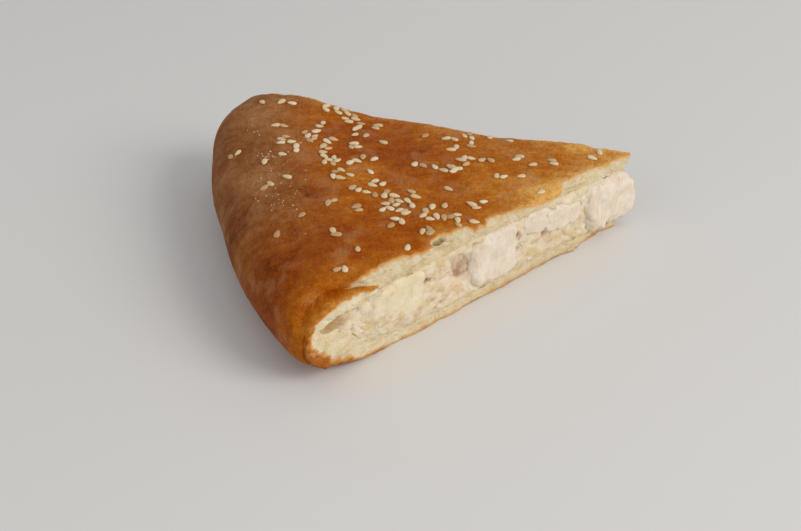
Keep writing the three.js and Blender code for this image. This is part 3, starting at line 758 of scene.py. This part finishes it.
def geometry_tree(name, *numbers):
    """A geometry tree with an input for each named number."""
    tree = bpy.data.node_groups.new(name, "GeometryNodeTree")
    tree.interface.new_socket("Geometry", in_out="INPUT", socket_type="NodeSocketGeometry")
    for key in numbers:
        tree.interface.new_socket(key, in_out="INPUT", socket_type="NodeSocketFloat")
    tree.interface.new_socket("Geometry", in_out="OUTPUT", socket_type="NodeSocketGeometry")
    return tree, add(tree, "NodeGroupInput").outputs


def turned(tree, rotation, angle):
    """A rotation with a further turn by an angle about its own upward axis."""
    spin = add(tree, "FunctionNodeAxisAngleToRotation", {"Axis": (0, 0, 1), "Angle": angle})
    both = {"Rotation": rotation, "Rotate By": spin.outputs["Rotation"]}
    return add(tree, "FunctionNodeRotateRotation", both, rotation_space="LOCAL").outputs["Rotation"]


def grow(made, tree, copies, finish, **numbers):
    """Ends a tree in real copies with a finish, runs it on an object, and keeps the result as a mesh."""
    real = add(tree, "GeometryNodeRealizeInstances", {"Geometry": copies}).outputs["Geometry"]
    material = bpy.data.materials.new(finish)
    coated = add(tree, "GeometryNodeSetMaterial", {"Geometry": real, "Material": material})
    add(tree, "NodeGroupOutput", {"Geometry": coated.outputs["Geometry"]})
    modifier = made.modifiers.new(tree.name, "NODES")
    modifier.node_group = tree
    for socket in tree.interface.items_tree:
        if socket.in_out == "INPUT" and socket.name in numbers:
            modifier[socket.identifier] = float(numbers[socket.name])
    return settle(made)


# %% Where the seeds lie
SEED_PATCHES = [
    # radius, degrees, spread, seeds
    (116, 25, 2, 2), (122.5, 24, 0, 1), (101.5, 25.8, 1.9, 3), (96.5, 26.2, 2.2, 3), (92, 23.8, 2.4, 4),
    (89, 21.2, 2, 3), (84.3, 23, 1.8, 2), (88.2, 16.2, 1.8, 2), (101, 19.4, 1.5, 2), (114, 16.4, 2.2, 2),
    (105.5, 15.4, 2.4, 4), (113, 12, 2.1, 4), (105, 12.8, 1.8, 2), (98, 13.3, 2, 2), (108, 9, 1.6, 2),
    (99.8, 9.4, 2, 3), (90.6, 11.2, 1.7, 3), (114.4, 7.3, 0, 1), (99.5, 4.9, 2.6, 6), (92, 3.5, 1.5, 2),
    (85.4, 6.4, 2.4, 2), (98, 0, 2.6, 5), (87.8, -0.2, 0, 1), (120.8, 5.6, 0, 1), (130.5, 9, 4, 2),
    (115.8, 0.3, 0, 1), (124, -1.5, 2.4, 2), (81, 14.4, 0, 1), (106.5, -9, 4, 2), (116.4, -11.4, 0, 1),
    (97, -12.2, 3, 2), (94, -6.3, 2.2, 3), (87.5, -5.5, 1.8, 3), (87, -9.6, 2.2, 4), (84.3, -12.8, 1.8, 3),
    (88.8, -14.8, 2.2, 4), (85, -16.5, 1.6, 2), (88.2, -19.4, 1.6, 2), (92.8, -20.2, 0, 1),
    (78.7, -11.5, 2.2, 2), (81.3, -14, 2.2, 2), (80, -18.8, 2.6, 2), (75.2, -17.5, 1.4, 2),
    (77.2, -21.8, 1.8, 3), (84.4, -25, 1.8, 3), (110.3, -18.2, 1.2, 2), (126, -13.7, 0, 1),
    (108.2, -23.5, 0, 1), (94.7, -27.6, 0, 1), (118, -26.6, 2.6, 2), (72.4, -24.2, 2.6, 4),
    (71.2, -18.1, 0, 1), (63.8, -22, 1.8, 2), (59, -21, 0, 1), (65.3, -10.7, 0, 1), (68, 20.6, 0, 1),
    (60, 21.3, 1.8, 2), (54.8, 24, 1.8, 3), (52, 18, 2.6, 2), (58.5, 13.2, 1.8, 2), (70.5, 3.4, 2.8, 2),
    (65.3, 1, 2, 2), (60.3, -1, 2, 5), (55.4, 4.2, 2.2, 4), (48, 5.1, 1.7, 2), (38.1, 4.8, 1.4, 2),
    (33.9, -2.2, 0, 1), (27.6, 1.4, 3, 2), (47.5, -8, 1.6, 2), (40.3, -11.3, 0, 1), (40, -27, 0, 1),
    (68.7, -27.8, 0, 1), (44, 27, 3, 2), (13.8, -2.9, 0, 1), (10.7, 12, 0, 1),
]
SEED_LENGTH, SEED_WIDTH, SEED_THICKNESS, SEED_TAPER, SEED_LIFT = 3.3, 1.9, 1.0, 0.30, 0.22
SEED_APART, SEED_TRIES, SEED_DRAW = 2.1, 20, 7
SEED_SMALLEST, SEED_SPREAD = 0.85, 0.25  # sizes, as shares of the full one
SEED_FROM_CUT, SEED_RADII = 2.6, (6, 132)
SHOULDER_RIB = 10.6  # the top is read up to here in the lid's rows, where it turns down over the rim


def draws_from(state):
    """Repeatable random draws from 0 to 1."""
    while True:
        state = (state * 1664525 + 1013904223) % 2**32
        yield state / 2**32


def drawn_place(draw, radius, degrees, spread):
    """One place in a drift: mostly near its middle, and never over the edge of a cut."""
    away = spread * math.sqrt(-math.log(1 - 0.9 * next(draw)))
    heading = 2 * math.pi * next(draw)
    along = radius + away * math.cos(heading)
    edge = HALF_ANGLE - SEED_FROM_CUT / along
    angle = math.radians(degrees) + away * math.sin(heading) / along
    return min(SEED_RADII[1], max(SEED_RADII[0], along)), min(edge, max(-edge, angle))


def seed_places():
    """Radius, angle, heading and size of each seed, drawn in the same order as those on the solid lid."""
    draw = draws_from(SEED_DRAW)
    taken = []
    for radius, degrees, spread, count in SEED_PATCHES:
        for _ in range(count):
            for _ in range(SEED_TRIES):
                along, angle = drawn_place(draw, radius, degrees, spread)
                spot = (along * math.cos(angle), along * math.sin(angle))
                if all(math.dist(spot, other) >= SEED_APART for other in taken):
                    break
            taken.append(spot)
            yield along, angle, 2 * math.pi * next(draw), SEED_SMALLEST + SEED_SPREAD * next(draw)


seeds = np.array(list(seed_places()))
crust_line = curve(LID_RIBS[:, 2:], np.linspace(0, SHOULDER_RIB / (len(LID_RIBS) - 1), 2000))
heights = np.interp(seeds[:, 0], *crust_line.T)
above = (polar(seeds[:, 0], seeds[:, 1], heights) + POINT_AT) * MM
lid_surface = BVHTree.FromObject(lid, bpy.context.evaluated_depsgraph_get())
found = [lid_surface.find_nearest(Vector(spot)) for spot in above]
seed_points = np.array([spot for spot, *_ in found]) / MM - POINT_AT
facing = np.array([normal for _, normal, *_ in found])

# %% Seeds
tree, given = geometry_tree("sesame seeds", "length", "width", "thickness")
ball = add(tree, "GeometryNodeMeshUVSphere", {"Radius": 1.0, "Segments": 16, "Rings": 10})
axis = add(tree, "ShaderNodeSeparateXYZ",
           {"Vector": add(tree, "GeometryNodeInputPosition").outputs["Position"]}).outputs
taper = add(tree, "ShaderNodeMath", {0: axis["Z"], 1: -SEED_TAPER, 2: 1.0},
            operation="MULTIPLY_ADD").outputs[0]
halves = {}
for key, source, factors in (("X", axis["Z"], (given["length"],)), ("Y", axis["X"], (given["width"], taper)),
                             ("Z", axis["Y"], (given["thickness"], taper))):
    value = add(tree, "ShaderNodeMath", {0: source, 1: 0.5}, operation="MULTIPLY").outputs[0]
    for factor in factors:
        value = add(tree, "ShaderNodeMath", {0: value, 1: factor}, operation="MULTIPLY").outputs[0]
    halves[key] = value
shape = add(tree, "ShaderNodeCombineXYZ", halves).outputs["Vector"]
drop = add(tree, "GeometryNodeSetPosition", {"Geometry": ball.outputs["Mesh"], "Position": shape})
named = {key: add(tree, "GeometryNodeInputNamedAttribute", {"Name": key}, data_type=kind).outputs["Attribute"]
         for key, kind in (("facing", "FLOAT_VECTOR"), ("heading", "FLOAT"), ("size", "FLOAT"))}
upward = add(tree, "FunctionNodeAlignRotationToVector", {"Vector": named["facing"]}, axis="Z")
copies = add(tree, "GeometryNodeInstanceOnPoints",
             {"Points": given["Geometry"], "Instance": drop.outputs["Geometry"], "Scale": named["size"],
              "Rotation": turned(tree, upward.outputs["Rotation"], named["heading"])})
tint = add(tree, "FunctionNodeRandomValue", {2: 0.0, 3: 1.0, "Seed": 5}, data_type="FLOAT")
tinted = add(tree, "GeometryNodeStoreNamedAttribute",
             {"Geometry": copies.outputs["Instances"], "Name": "tint", "Value": tint.outputs[1]},
             data_type="FLOAT", domain="INSTANCE")

sesame = mesh_object("sesame_seeds", seed_points + facing * SEED_LIFT, np.zeros((0, 3), int),
                     heading=seeds[:, 2], size=seeds[:, 3])
sesame.data.attributes.new("facing", "FLOAT_VECTOR", "POINT").data.foreach_set("vector", facing.ravel())
grow(sesame, tree, tinted.outputs["Geometry"], "hulled sesame seed",
     length=SEED_LENGTH * MM, width=SEED_WIDTH * MM, thickness=SEED_THICKNESS * MM)
print("seeds:", len(seeds), "with", triangles(sesame), "triangles")

# %% [markdown]
# ## Shreds of meat
# A knife pulls fibres out of cooked chicken, and they stay on the cut as thin shreds. Each is one stretched
# ball. Geometry Nodes lay them flat on the minced filling's cuts, turned at random.

# %% Shreds
SHRED_DENSITY = 0.022e6  # to a square metre of cut
SHRED_RADIUS, SHRED_TURN, CUT_LEVEL = 0.3, 0.9, 0.8

tree, given = geometry_tree("meat shreds", "radius", "density")
normal = add(tree, "GeometryNodeInputNormal").outputs["Normal"]
sides = add(tree, "ShaderNodeSeparateXYZ", {"Vector": normal}).outputs
level = add(tree, "ShaderNodeMath", {0: sides["Z"]}, operation="ABSOLUTE")
upright = add(tree, "FunctionNodeCompare", {"A": level.outputs[0], "B": CUT_LEVEL}, operation="LESS_THAN")
scatter = add(tree, "GeometryNodeDistributePointsOnFaces",
              {"Mesh": given["Geometry"], "Selection": upright.outputs["Result"], "Density": given["density"],
               "Seed": 11}).outputs
ball = add(tree, "GeometryNodeMeshUVSphere", {"Radius": given["radius"], "Segments": 8, "Rings": 6})
heading = add(tree, "FunctionNodeRandomValue", {2: -SHRED_TURN, 3: SHRED_TURN, "Seed": 12}, data_type="FLOAT")
size = add(tree, "FunctionNodeRandomValue", {0: (2.0, 0.6, 0.5), 1: (5.0, 1.3, 1.0), "Seed": 13},
           data_type="FLOAT_VECTOR")
copies = add(tree, "GeometryNodeInstanceOnPoints",
             {"Points": scatter["Points"], "Instance": ball.outputs["Mesh"], "Scale": size.outputs["Value"],
              "Rotation": turned(tree, scatter["Rotation"], heading.outputs[1])})
shreds = grow(twin(mince, "meat_shreds"), tree, copies.outputs["Instances"], "cooked chicken breast",
              radius=SHRED_RADIUS * MM, density=SHRED_DENSITY)
print("shreds:", triangles(shreds), "triangles")

# %% [markdown]
# ## Flour on the rim
# White specks of flour lie in loose clusters on the rim. The lid stores how dusty each place is, and
# Geometry Nodes scatter tiny grains by that.

# %% Dust
DUST = [
    # radius, degrees, reach and thickness of each dusting
    (119.3, 7.2, 1.9, 3.0), (118.4, 4.6, 3.2, 0.7), (121, 1.1, 4, 0.35), (122.5, 14.7, 3, 0.35),
    (116.7, 16.5, 3, 0.2), (117, -5, 6, 0.16), (112, -12, 8, 0.06), (124, -5, 4, 0.15), (112, 8, 6, 0.12),
]
DUST_LEVEL = 27.0  # the height at which the dustings' places are worked out
DUST_DENSITY = 0.45e6  # grains to a square metre where the dusting is 1
DUST_GRAIN, DUST_SLOPE = 0.2, 0.2  # a grain's radius, and the least upward tilt that holds flour

rows = [(*polar(np.array([radius]), np.array([math.radians(turn)]), np.array([DUST_LEVEL]))[0, :2], *rest)
        for radius, turn, *rest in DUST]
dusty = soft_spots(rows, *places(lid)[:, :2].T)
store(lid, dusty=dusty * (read(lid, "normal")[:, 2] > DUST_SLOPE))

tree, given = geometry_tree("flour dust", "grain")
amount = add(tree, "GeometryNodeInputNamedAttribute", {"Name": "dusty"}, data_type="FLOAT")
density = add(tree, "ShaderNodeMath", {0: amount.outputs["Attribute"], 1: DUST_DENSITY},
              operation="MULTIPLY").outputs[0]
scatter = add(tree, "GeometryNodeDistributePointsOnFaces",
              {"Mesh": given["Geometry"], "Density": density, "Seed": 4}).outputs
grain = add(tree, "GeometryNodeMeshIcoSphere", {"Radius": given["grain"], "Subdivisions": 1})
size = add(tree, "FunctionNodeRandomValue", {0: (0.4, 0.4, 0.3), 1: (2.2, 1.8, 1.0), "Seed": 2},
           data_type="FLOAT_VECTOR")
copies = add(tree, "GeometryNodeInstanceOnPoints",
             {"Points": scatter["Points"], "Instance": grain.outputs["Mesh"], "Scale": size.outputs["Value"]})
dust = grow(twin(lid, "flour_dust"), tree, copies.outputs["Instances"], "wheat flour", grain=DUST_GRAIN * MM)
print("dust:", triangles(dust), "triangles")

# %% [markdown]
# ## Materials
# Every food here scatters a little light under its surface, so all of them are a dielectric with some
# subsurface. Patterns read object coordinates in metres, so a scale is one over a size in metres.

# %% A finish in the making
class Finish:
    """A material's tree and shader, its object coordinates, and the numbers on the mesh that it reads."""

    def __init__(self, name, *numbers):
        self.material = bpy.data.materials.get(name) or bpy.data.materials.new(name)
        self.material.use_nodes = True
        self.tree = self.material.node_tree
        self.tree.nodes.clear()
        self.where = self.add("ShaderNodeTexCoord").outputs["Object"]
        self.shader = self.add("ShaderNodeBsdfPrincipled")
        self.add("ShaderNodeOutputMaterial", {"Surface": self.shader.outputs["BSDF"]})
        for number in numbers:
            setattr(self, number, self.add("ShaderNodeAttribute", attribute_name=number).outputs["Fac"])

    def add(self, kind, *inputs, **settings):
        """Adds a node to this material's tree."""
        return add(self.tree, kind, *inputs, **settings)

    def grain(self, size, detail=3.0, roughness=0.6, stretch=(1, 1, 1)):
        """Noise from 0 to 1 whose features are this many millimetres wide."""
        place = self.add("ShaderNodeMapping", {"Vector": self.where, "Scale": stretch}).outputs["Vector"]
        return self.add("ShaderNodeTexNoise", {"Vector": place, "Scale": 1 / (size * MM), "Detail": detail,
                                               "Roughness": roughness}).outputs["Fac"]

    def stirred(self, middle, *parts):
        """A number from 0 to 1: its value where all parts are at 0.5, pushed by each by its weight."""
        for value, weight in parts:
            push = self.add("ShaderNodeMath", {0: value, 1: 0.5}, operation="SUBTRACT").outputs[0]
            middle = self.add("ShaderNodeMath", {0: push, 1: weight, 2: middle},
                              operation="MULTIPLY_ADD").outputs[0]
        middle.node.use_clamp = True
        return middle

    def stained(self, tone, colour, *shares):
        """A tone blended towards a colour or another tone, by the product of some shares."""
        factor = shares[0]
        for share in shares[1:]:
            factor = self.add("ShaderNodeMath", {0: factor, 1: share}, operation="MULTIPLY").outputs[0]
        other = linear(colour) if isinstance(colour, str) else colour
        return self.add("ShaderNodeMix", {"Factor": factor, 6: tone, 7: other}, data_type="RGBA").outputs[2]

    def coat(self, relief, **inputs):
        """Adds up the relief, each part with its depth in millimetres, and sets the shader's inputs."""
        for height, depth in relief:
            bump = {"Height": height, "Distance": depth * MM, "Strength": 1.0}
            if "Normal" in inputs:
                bump["Normal"] = inputs["Normal"]
            inputs["Normal"] = self.add("ShaderNodeBump", bump).outputs["Normal"]
        connect(self.tree, self.shader, {key.replace("_", " "): value for key, value in inputs.items()})


RAMP = "ShaderNodeValToRGB"
SHOWS, HIDDEN = "#ffffff", "#000000"
# Seen on every wet food of the filling
MOIST_FLESH = {"IOR": 1.4, "Subsurface_Weight": 0.25, "Subsurface_Scale": 0.0015}

# %% [markdown]
# Baked yeast dough: an egg glaze leaves a thin satin film over a browned skin, with pores and fine
# wrinkles. Under the skin the crumb is pale, matt and full of small bubbles. One material covers both, told
# apart by the number stored on the mesh.

# %% Baked dough
dough = Finish("baked yeast dough", "bake", "dull", "moist", "bare")
mottle, fine, speckle = dough.grain(9, 5, 0.62), dough.grain(1.5, 4, 0.7), dough.grain(0.6, 2)
streaks = dough.grain(3.6, 5, 0.68, (0.7, 1.2, 1))
level = dough.stirred(dough.bake, (mottle, 0.7), (streaks, 0.68), (fine, 0.62), (speckle, 0.35))
glazed = dough.add(RAMP, {"Fac": level}, [(0.0, "#e9b562"), (0.2, "#cf8c3a"), (0.42, "#bd6e18"),
                                          (0.62, "#ab5802"), (0.82, "#9a4300"), (1.0, "#7c3200")]).outputs[0]
# The matt tones are the unglazed crust's own colour and, on the rim, painted sheen: greyer, as the sky's
# reflection makes it
matt = dough.add(RAMP, {"Fac": level}, [(0.0, "#ba9066"), (0.3, "#a27149"), (0.6, "#8b5830"),
                                        (0.85, "#78451e"), (1.0, "#653414")]).outputs[0]
crust = dough.stained(glazed, matt, dough.dull)
# Lighter, greyer patches over the crust are painted sheen: the glaze's soft reflection put into the colour
sheen_patches = dough.grain(8, 4, 0.6, (1, 0.8, 1))
painted_sheen = dough.add(RAMP, {"Fac": sheen_patches}, [(0.53, HIDDEN), (0.64, SHOWS)]).outputs[0]
crust = dough.stained(crust, "#bd8c60", painted_sheen, 0.28)
wrinkles = dough.grain(2.2, 4, 0.6, (1, 0.55, 1))
# Paler on the crests of the wrinkles where the crust is dull
pale_crests = dough.add(RAMP, {"Fac": wrinkles}, [(0.52, HIDDEN), (0.66, SHOWS)]).outputs[0]
crust = dough.stained(crust, "#c9a274", pale_crests, dough.dull, 0.16)
crumb_tone = dough.add(RAMP, {"Fac": dough.grain(4, 5, 0.7)},
                       [(0.28, "#d6bf8f"), (0.5, "#e4d3ad"), (0.72, "#f0e6cd")]).outputs[0]
bubble = dough.grain(0.9, 2, 0.5, (1, 1, 2.0))
# The crumb is darker tan in the low pits of the bubbles: painted shade
pits = dough.add(RAMP, {"Fac": bubble}, [(0.28, SHOWS), (0.40, HIDDEN)]).outputs[0]
crumb_tone = dough.stained(crumb_tone, "#c4a468", pits, 0.28)
crumb_tone = dough.stained(crumb_tone, "#c4ad84", dough.moist, 0.55)
# Only in the torn holes does the crumb turn dark olive: painted shade
crumb_tone = dough.stained(crumb_tone, "#8a7340", dough.stirred(-0.45, (dough.moist, 1.0)))
frayed = dough.stirred(dough.bare, (fine, 0.8), (speckle, 0.5))
edge = dough.add(RAMP, {"Fac": frayed}, [(0.12, HIDDEN), (0.92, SHOWS)]).outputs[0]
golden = dough.add(RAMP, {"Fac": edge},
                   [(0.0, HIDDEN), (0.35, SHOWS), (0.7, "#909090"), (1.0, HIDDEN)]).outputs[0]
colour = dough.stained(crust, crumb_tone, edge)
colour = dough.stained(colour, "#dd9a44", golden, dough.stirred(0.475, (dough.dull, -0.45)))
gloss = dough.stirred(0.64, (mottle, 0.20), (edge, 0.30), (dough.dull, 0.30))
dough.coat([(wrinkles, 0.7), (fine, 0.45), (bubble, 0.3), (dough.grain(0.45, 2), 0.12)], Base_Color=colour,
           Roughness=gloss, IOR=1.45, Specular_IOR_Level=0.04, Subsurface_Weight=0.1, Subsurface_Scale=0.001,
           Subsurface_Radius=(1.0, 0.6, 0.35))

# %% [markdown]
# Cooked chicken breast and boiled potato are moist, so they shine softly and let light in. Chicken shows
# its fibres, with painted shade in the grooves between them, and gets painted shade where it lies behind the
# cut. Potato is yellower and finer, with a few browned stains.

# %% Chicken and potato
breast = Finish("cooked chicken breast", "sunk")
tone = breast.add(RAMP, {"Fac": breast.grain(6)},
                  [(0.3, "#ddcbb4"), (0.5, "#e5d7c3"), (0.72, "#eee4d3")]).outputs[0]
strand = breast.grain(1.1, 3, 0.6, (1, 1, 0.3))
between = breast.add(RAMP, {"Fac": strand}, [(0.30, SHOWS), (0.46, HIDDEN)]).outputs[0]
# Darker and pinker in the grooves between the fibres: painted shade
tone = breast.stained(tone, "#cda68a", between, 0.35)
# Brown where the meat lies behind the cut: painted shade
tone = breast.stained(tone, "#a2703f", breast.stirred(0.09, (breast.sunk, 0.9)), 0.8)
breast.coat([(strand, 0.16), (breast.grain(0.5, 2), 0.07)], Base_Color=tone, Roughness=0.5,
            Subsurface_Radius=(1.0, 0.5, 0.35), **MOIST_FLESH)

boiled = Finish("boiled potato")
tone = boiled.add(RAMP, {"Fac": boiled.grain(4)},
                  [(0.3, "#e0d0a8"), (0.5, "#e7d9b8"), (0.75, "#efe4ca")]).outputs[0]
stain = boiled.add(RAMP, {"Fac": boiled.grain(6, 2)}, [(0.62, HIDDEN), (0.74, SHOWS)]).outputs[0]
tone = boiled.stained(tone, "#d9b06a", stain, 0.5)
boiled.coat([(boiled.grain(1.6), 0.2), (boiled.grain(0.4, 2), 0.06)], Base_Color=tone, Roughness=0.45,
            Subsurface_Radius=(1.0, 0.8, 0.4), **MOIST_FLESH)

# %% [markdown]
# Minced chicken takes its colour lump by lump, from the numbers that also shaped the lumps: pale meat,
# yellow onion, scraps of darker meat round the gaps, painted shade in the low places between the lumps, and
# painted shade in deep brown at the bottom of the gaps.

# %% Minced filling
minced = Finish("minced chicken and onion", "kind", "lump", "doughy", "fine", "onion", "scrap", "sunk")
tone = minced.add(RAMP, {"Fac": minced.kind},
                  [(0.0, "#e5d6b6"), (0.3, "#eee1ca"), (0.45, "#dfcaa8"), (0.6, "#eadbc4"), (0.8, "#d9c79d"),
                   (0.92, "#d2b886"), (1.0, "#c2a07c")]).outputs[0]
soft = minced.add(RAMP, {"Fac": minced.grain(3, 4)}, [(0.3, "#ceb58d"), (0.5, "#e3d3b4"), (0.7, "#f1e6d2")])
tone = minced.stained(tone, soft.outputs[0], 0.45)
# Browner where the lumps are low: painted shade between them
tone = minced.stained(tone, "#b08a5a", minced.stirred(-0.7, (minced.lump, -2.0)), 0.7)
tone = minced.stained(tone, "#dccba5", minced.doughy, 0.7)
specks = minced.add(RAMP, {"Fac": minced.fine}, [(0.80, HIDDEN), (0.9, SHOWS)]).outputs[0]
tone = minced.stained(tone, "#cda77c", specks, 0.35)
tone = minced.stained(tone, "#d9b46a", minced.onion, 0.6)
tone = minced.stained(tone, "#c39b84", minced.stirred(0.28, (minced.scrap, 0.8), (minced.grain(1.6), 0.96)))
# Deep brown by depth behind the cut, in the gaps and hollows: painted shade
tone = minced.stained(tone, "#8a5834", minced.stirred(-0.12, (minced.sunk, 0.6)), 0.95)
minced.coat([(minced.grain(1.2), 0.22), (minced.grain(0.4, 2), 0.08)], Base_Color=tone, Roughness=0.5,
            Subsurface_Radius=(1.0, 0.6, 0.4), **MOIST_FLESH)

# %% [markdown]
# A hulled sesame seed is smooth and holds oil, so it has a soft shine and glows a little. Seeds were
# toasted unevenly, so each has a tone of its own. Flour is a dry powder, cream white and fully matt.

# %% Seeds and flour
hulled = Finish("hulled sesame seed", "tint")
tone = hulled.add(RAMP, {"Fac": hulled.tint},
                  [(0.0, "#b98d5a"), (0.22, "#ceb082"), (0.5, "#dfca9f"), (1.0, "#ebdcbc")]).outputs[0]
tone = hulled.stained(tone, "#cda66a", hulled.grain(1.6, 2), 0.35)
hulled.coat([(hulled.grain(0.5, 2), 0.05)], Base_Color=tone, Roughness=0.38, IOR=1.47,
            Subsurface_Weight=0.2, Subsurface_Scale=0.0008)

flour = Finish("wheat flour")
tone = flour.add(RAMP, {"Fac": flour.grain(1)}, [(0.3, "#d9c6a2"), (0.7, "#e9dcc2")]).outputs[0]
flour.coat([], Base_Color=tone, Roughness=0.8)

# %% Materials onto pieces
for made, finish in [(lid, dough), (base, dough), (mince, minced)] + \
        [(meat, breast) for _, meat in chicken] + [(cube, boiled) for _, cube in potato]:
    made.data.materials.clear()
    made.data.materials.append(finish.material)

# %% [markdown]
# ## Pieces join the frame
# Each piece rides on the one rigid body and stands for its solid. The flour and the shreds replace no
# solid. The seeds stand for the lid's solid too, because on it the seeds are part of the lid.

# %% Pieces onto the body
WORN = [(lid, "crust", ["lid"]), (base, "dough", ["base"]), (mince, "mince", ["filling"]),
        (sesame, "crust", ["lid"]), (dust, "crust", []), (shreds, "chicken", [])]
WORN += [(meat, "chicken", [node]) for node, meat in chicken]
WORN += [(cube, "potato", [node]) for node, cube in potato]
for made, slot, stands_for in WORN:
    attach(made, "root")
    if stands_for:
        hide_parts(*stands_for)
print("pieces:", len(WORN), "triangles:", sum(triangles(made) for made, *_ in WORN))

# %% [markdown]
# ## Floor, light and camera
# A pale floor of matt paper stands in for the table: even, with no shine. One large soft light from the
# right is the window, a weak one fills the rim's shade, and an even sky lifts the rest.

# %% Floor
FLOOR_SIZE = 6  # metres
FLOOR_GAP = 0.1  # keeps the floor's face apart from the slice's flat underside

bpy.ops.mesh.primitive_plane_add(size=FLOOR_SIZE, location=(0, 0, -FLOOR_GAP * MM))
floor = bpy.context.object
floor.name = "studio_floor"
paper = Finish("matt studio paper")
tone = paper.add(RAMP, {"Fac": paper.grain(900, 2)}, [(0.3, "#dcdbd8"), (0.7, "#e0dfdc")]).outputs[0]
paper.coat([], Base_Color=tone, Roughness=0.75)
floor.data.materials.append(paper.material)

# %% Light
def area_light(name, place, size, power, colour):
    """A square light that faces the slice: its place and size in metres, and its power in watts."""
    data = bpy.data.lights.new(name, "AREA")
    data.shape = "SQUARE"
    data.size = size
    data.energy = power
    data.color = linear(colour)[:3]
    light = placed(name, data)
    light.location = place
    light.rotation_euler = (-Vector(place)).to_track_quat("-Z", "Y").to_euler()


area_light("window", (0.95, -0.75, 0.85), 0.8, 12, "#fffaf4")
area_light("bounce", (-0.9, -0.7, 0.6), 0.9, 1.5, "#f6f6ff")
world = bpy.data.worlds.new("soft room")
bpy.context.scene.world = world
world.use_nodes = True
sky = world.node_tree.nodes["Background"]
sky.inputs["Color"].default_value = linear("#f2f2f4")
sky.inputs["Strength"].default_value = 0.55
bpy.context.scene.view_settings.view_transform = "Standard"

# %% Camera
CAMERA_AT = np.array([-151.1, -374.6, 252.0])
LOOK = Vector((0.1606, 0.8110, -0.5626)).normalized()
ROLL = math.radians(-0.15)
PIXELS_ACROSS, FOCAL_PIXELS, SENSOR = 801, 1400, 36

camera_data = bpy.data.cameras.new("photo camera")
camera_data.sensor_width = SENSOR
camera_data.lens = SENSOR * FOCAL_PIXELS / PIXELS_ACROSS
camera_data.clip_start = 0.01
camera = placed("photo camera", camera_data)
right = LOOK.cross(Vector((0, 0, 1))).normalized()
up = right.cross(LOOK)
right, up = math.cos(ROLL) * right + math.sin(ROLL) * up, math.cos(ROLL) * up - math.sin(ROLL) * right
turn = Matrix((right, up, -LOOK)).transposed().to_4x4()
camera.matrix_world = Matrix.Translation(Vector((CAMERA_AT + POINT_AT) * MM)) @ turn
bpy.context.scene.camera = camera
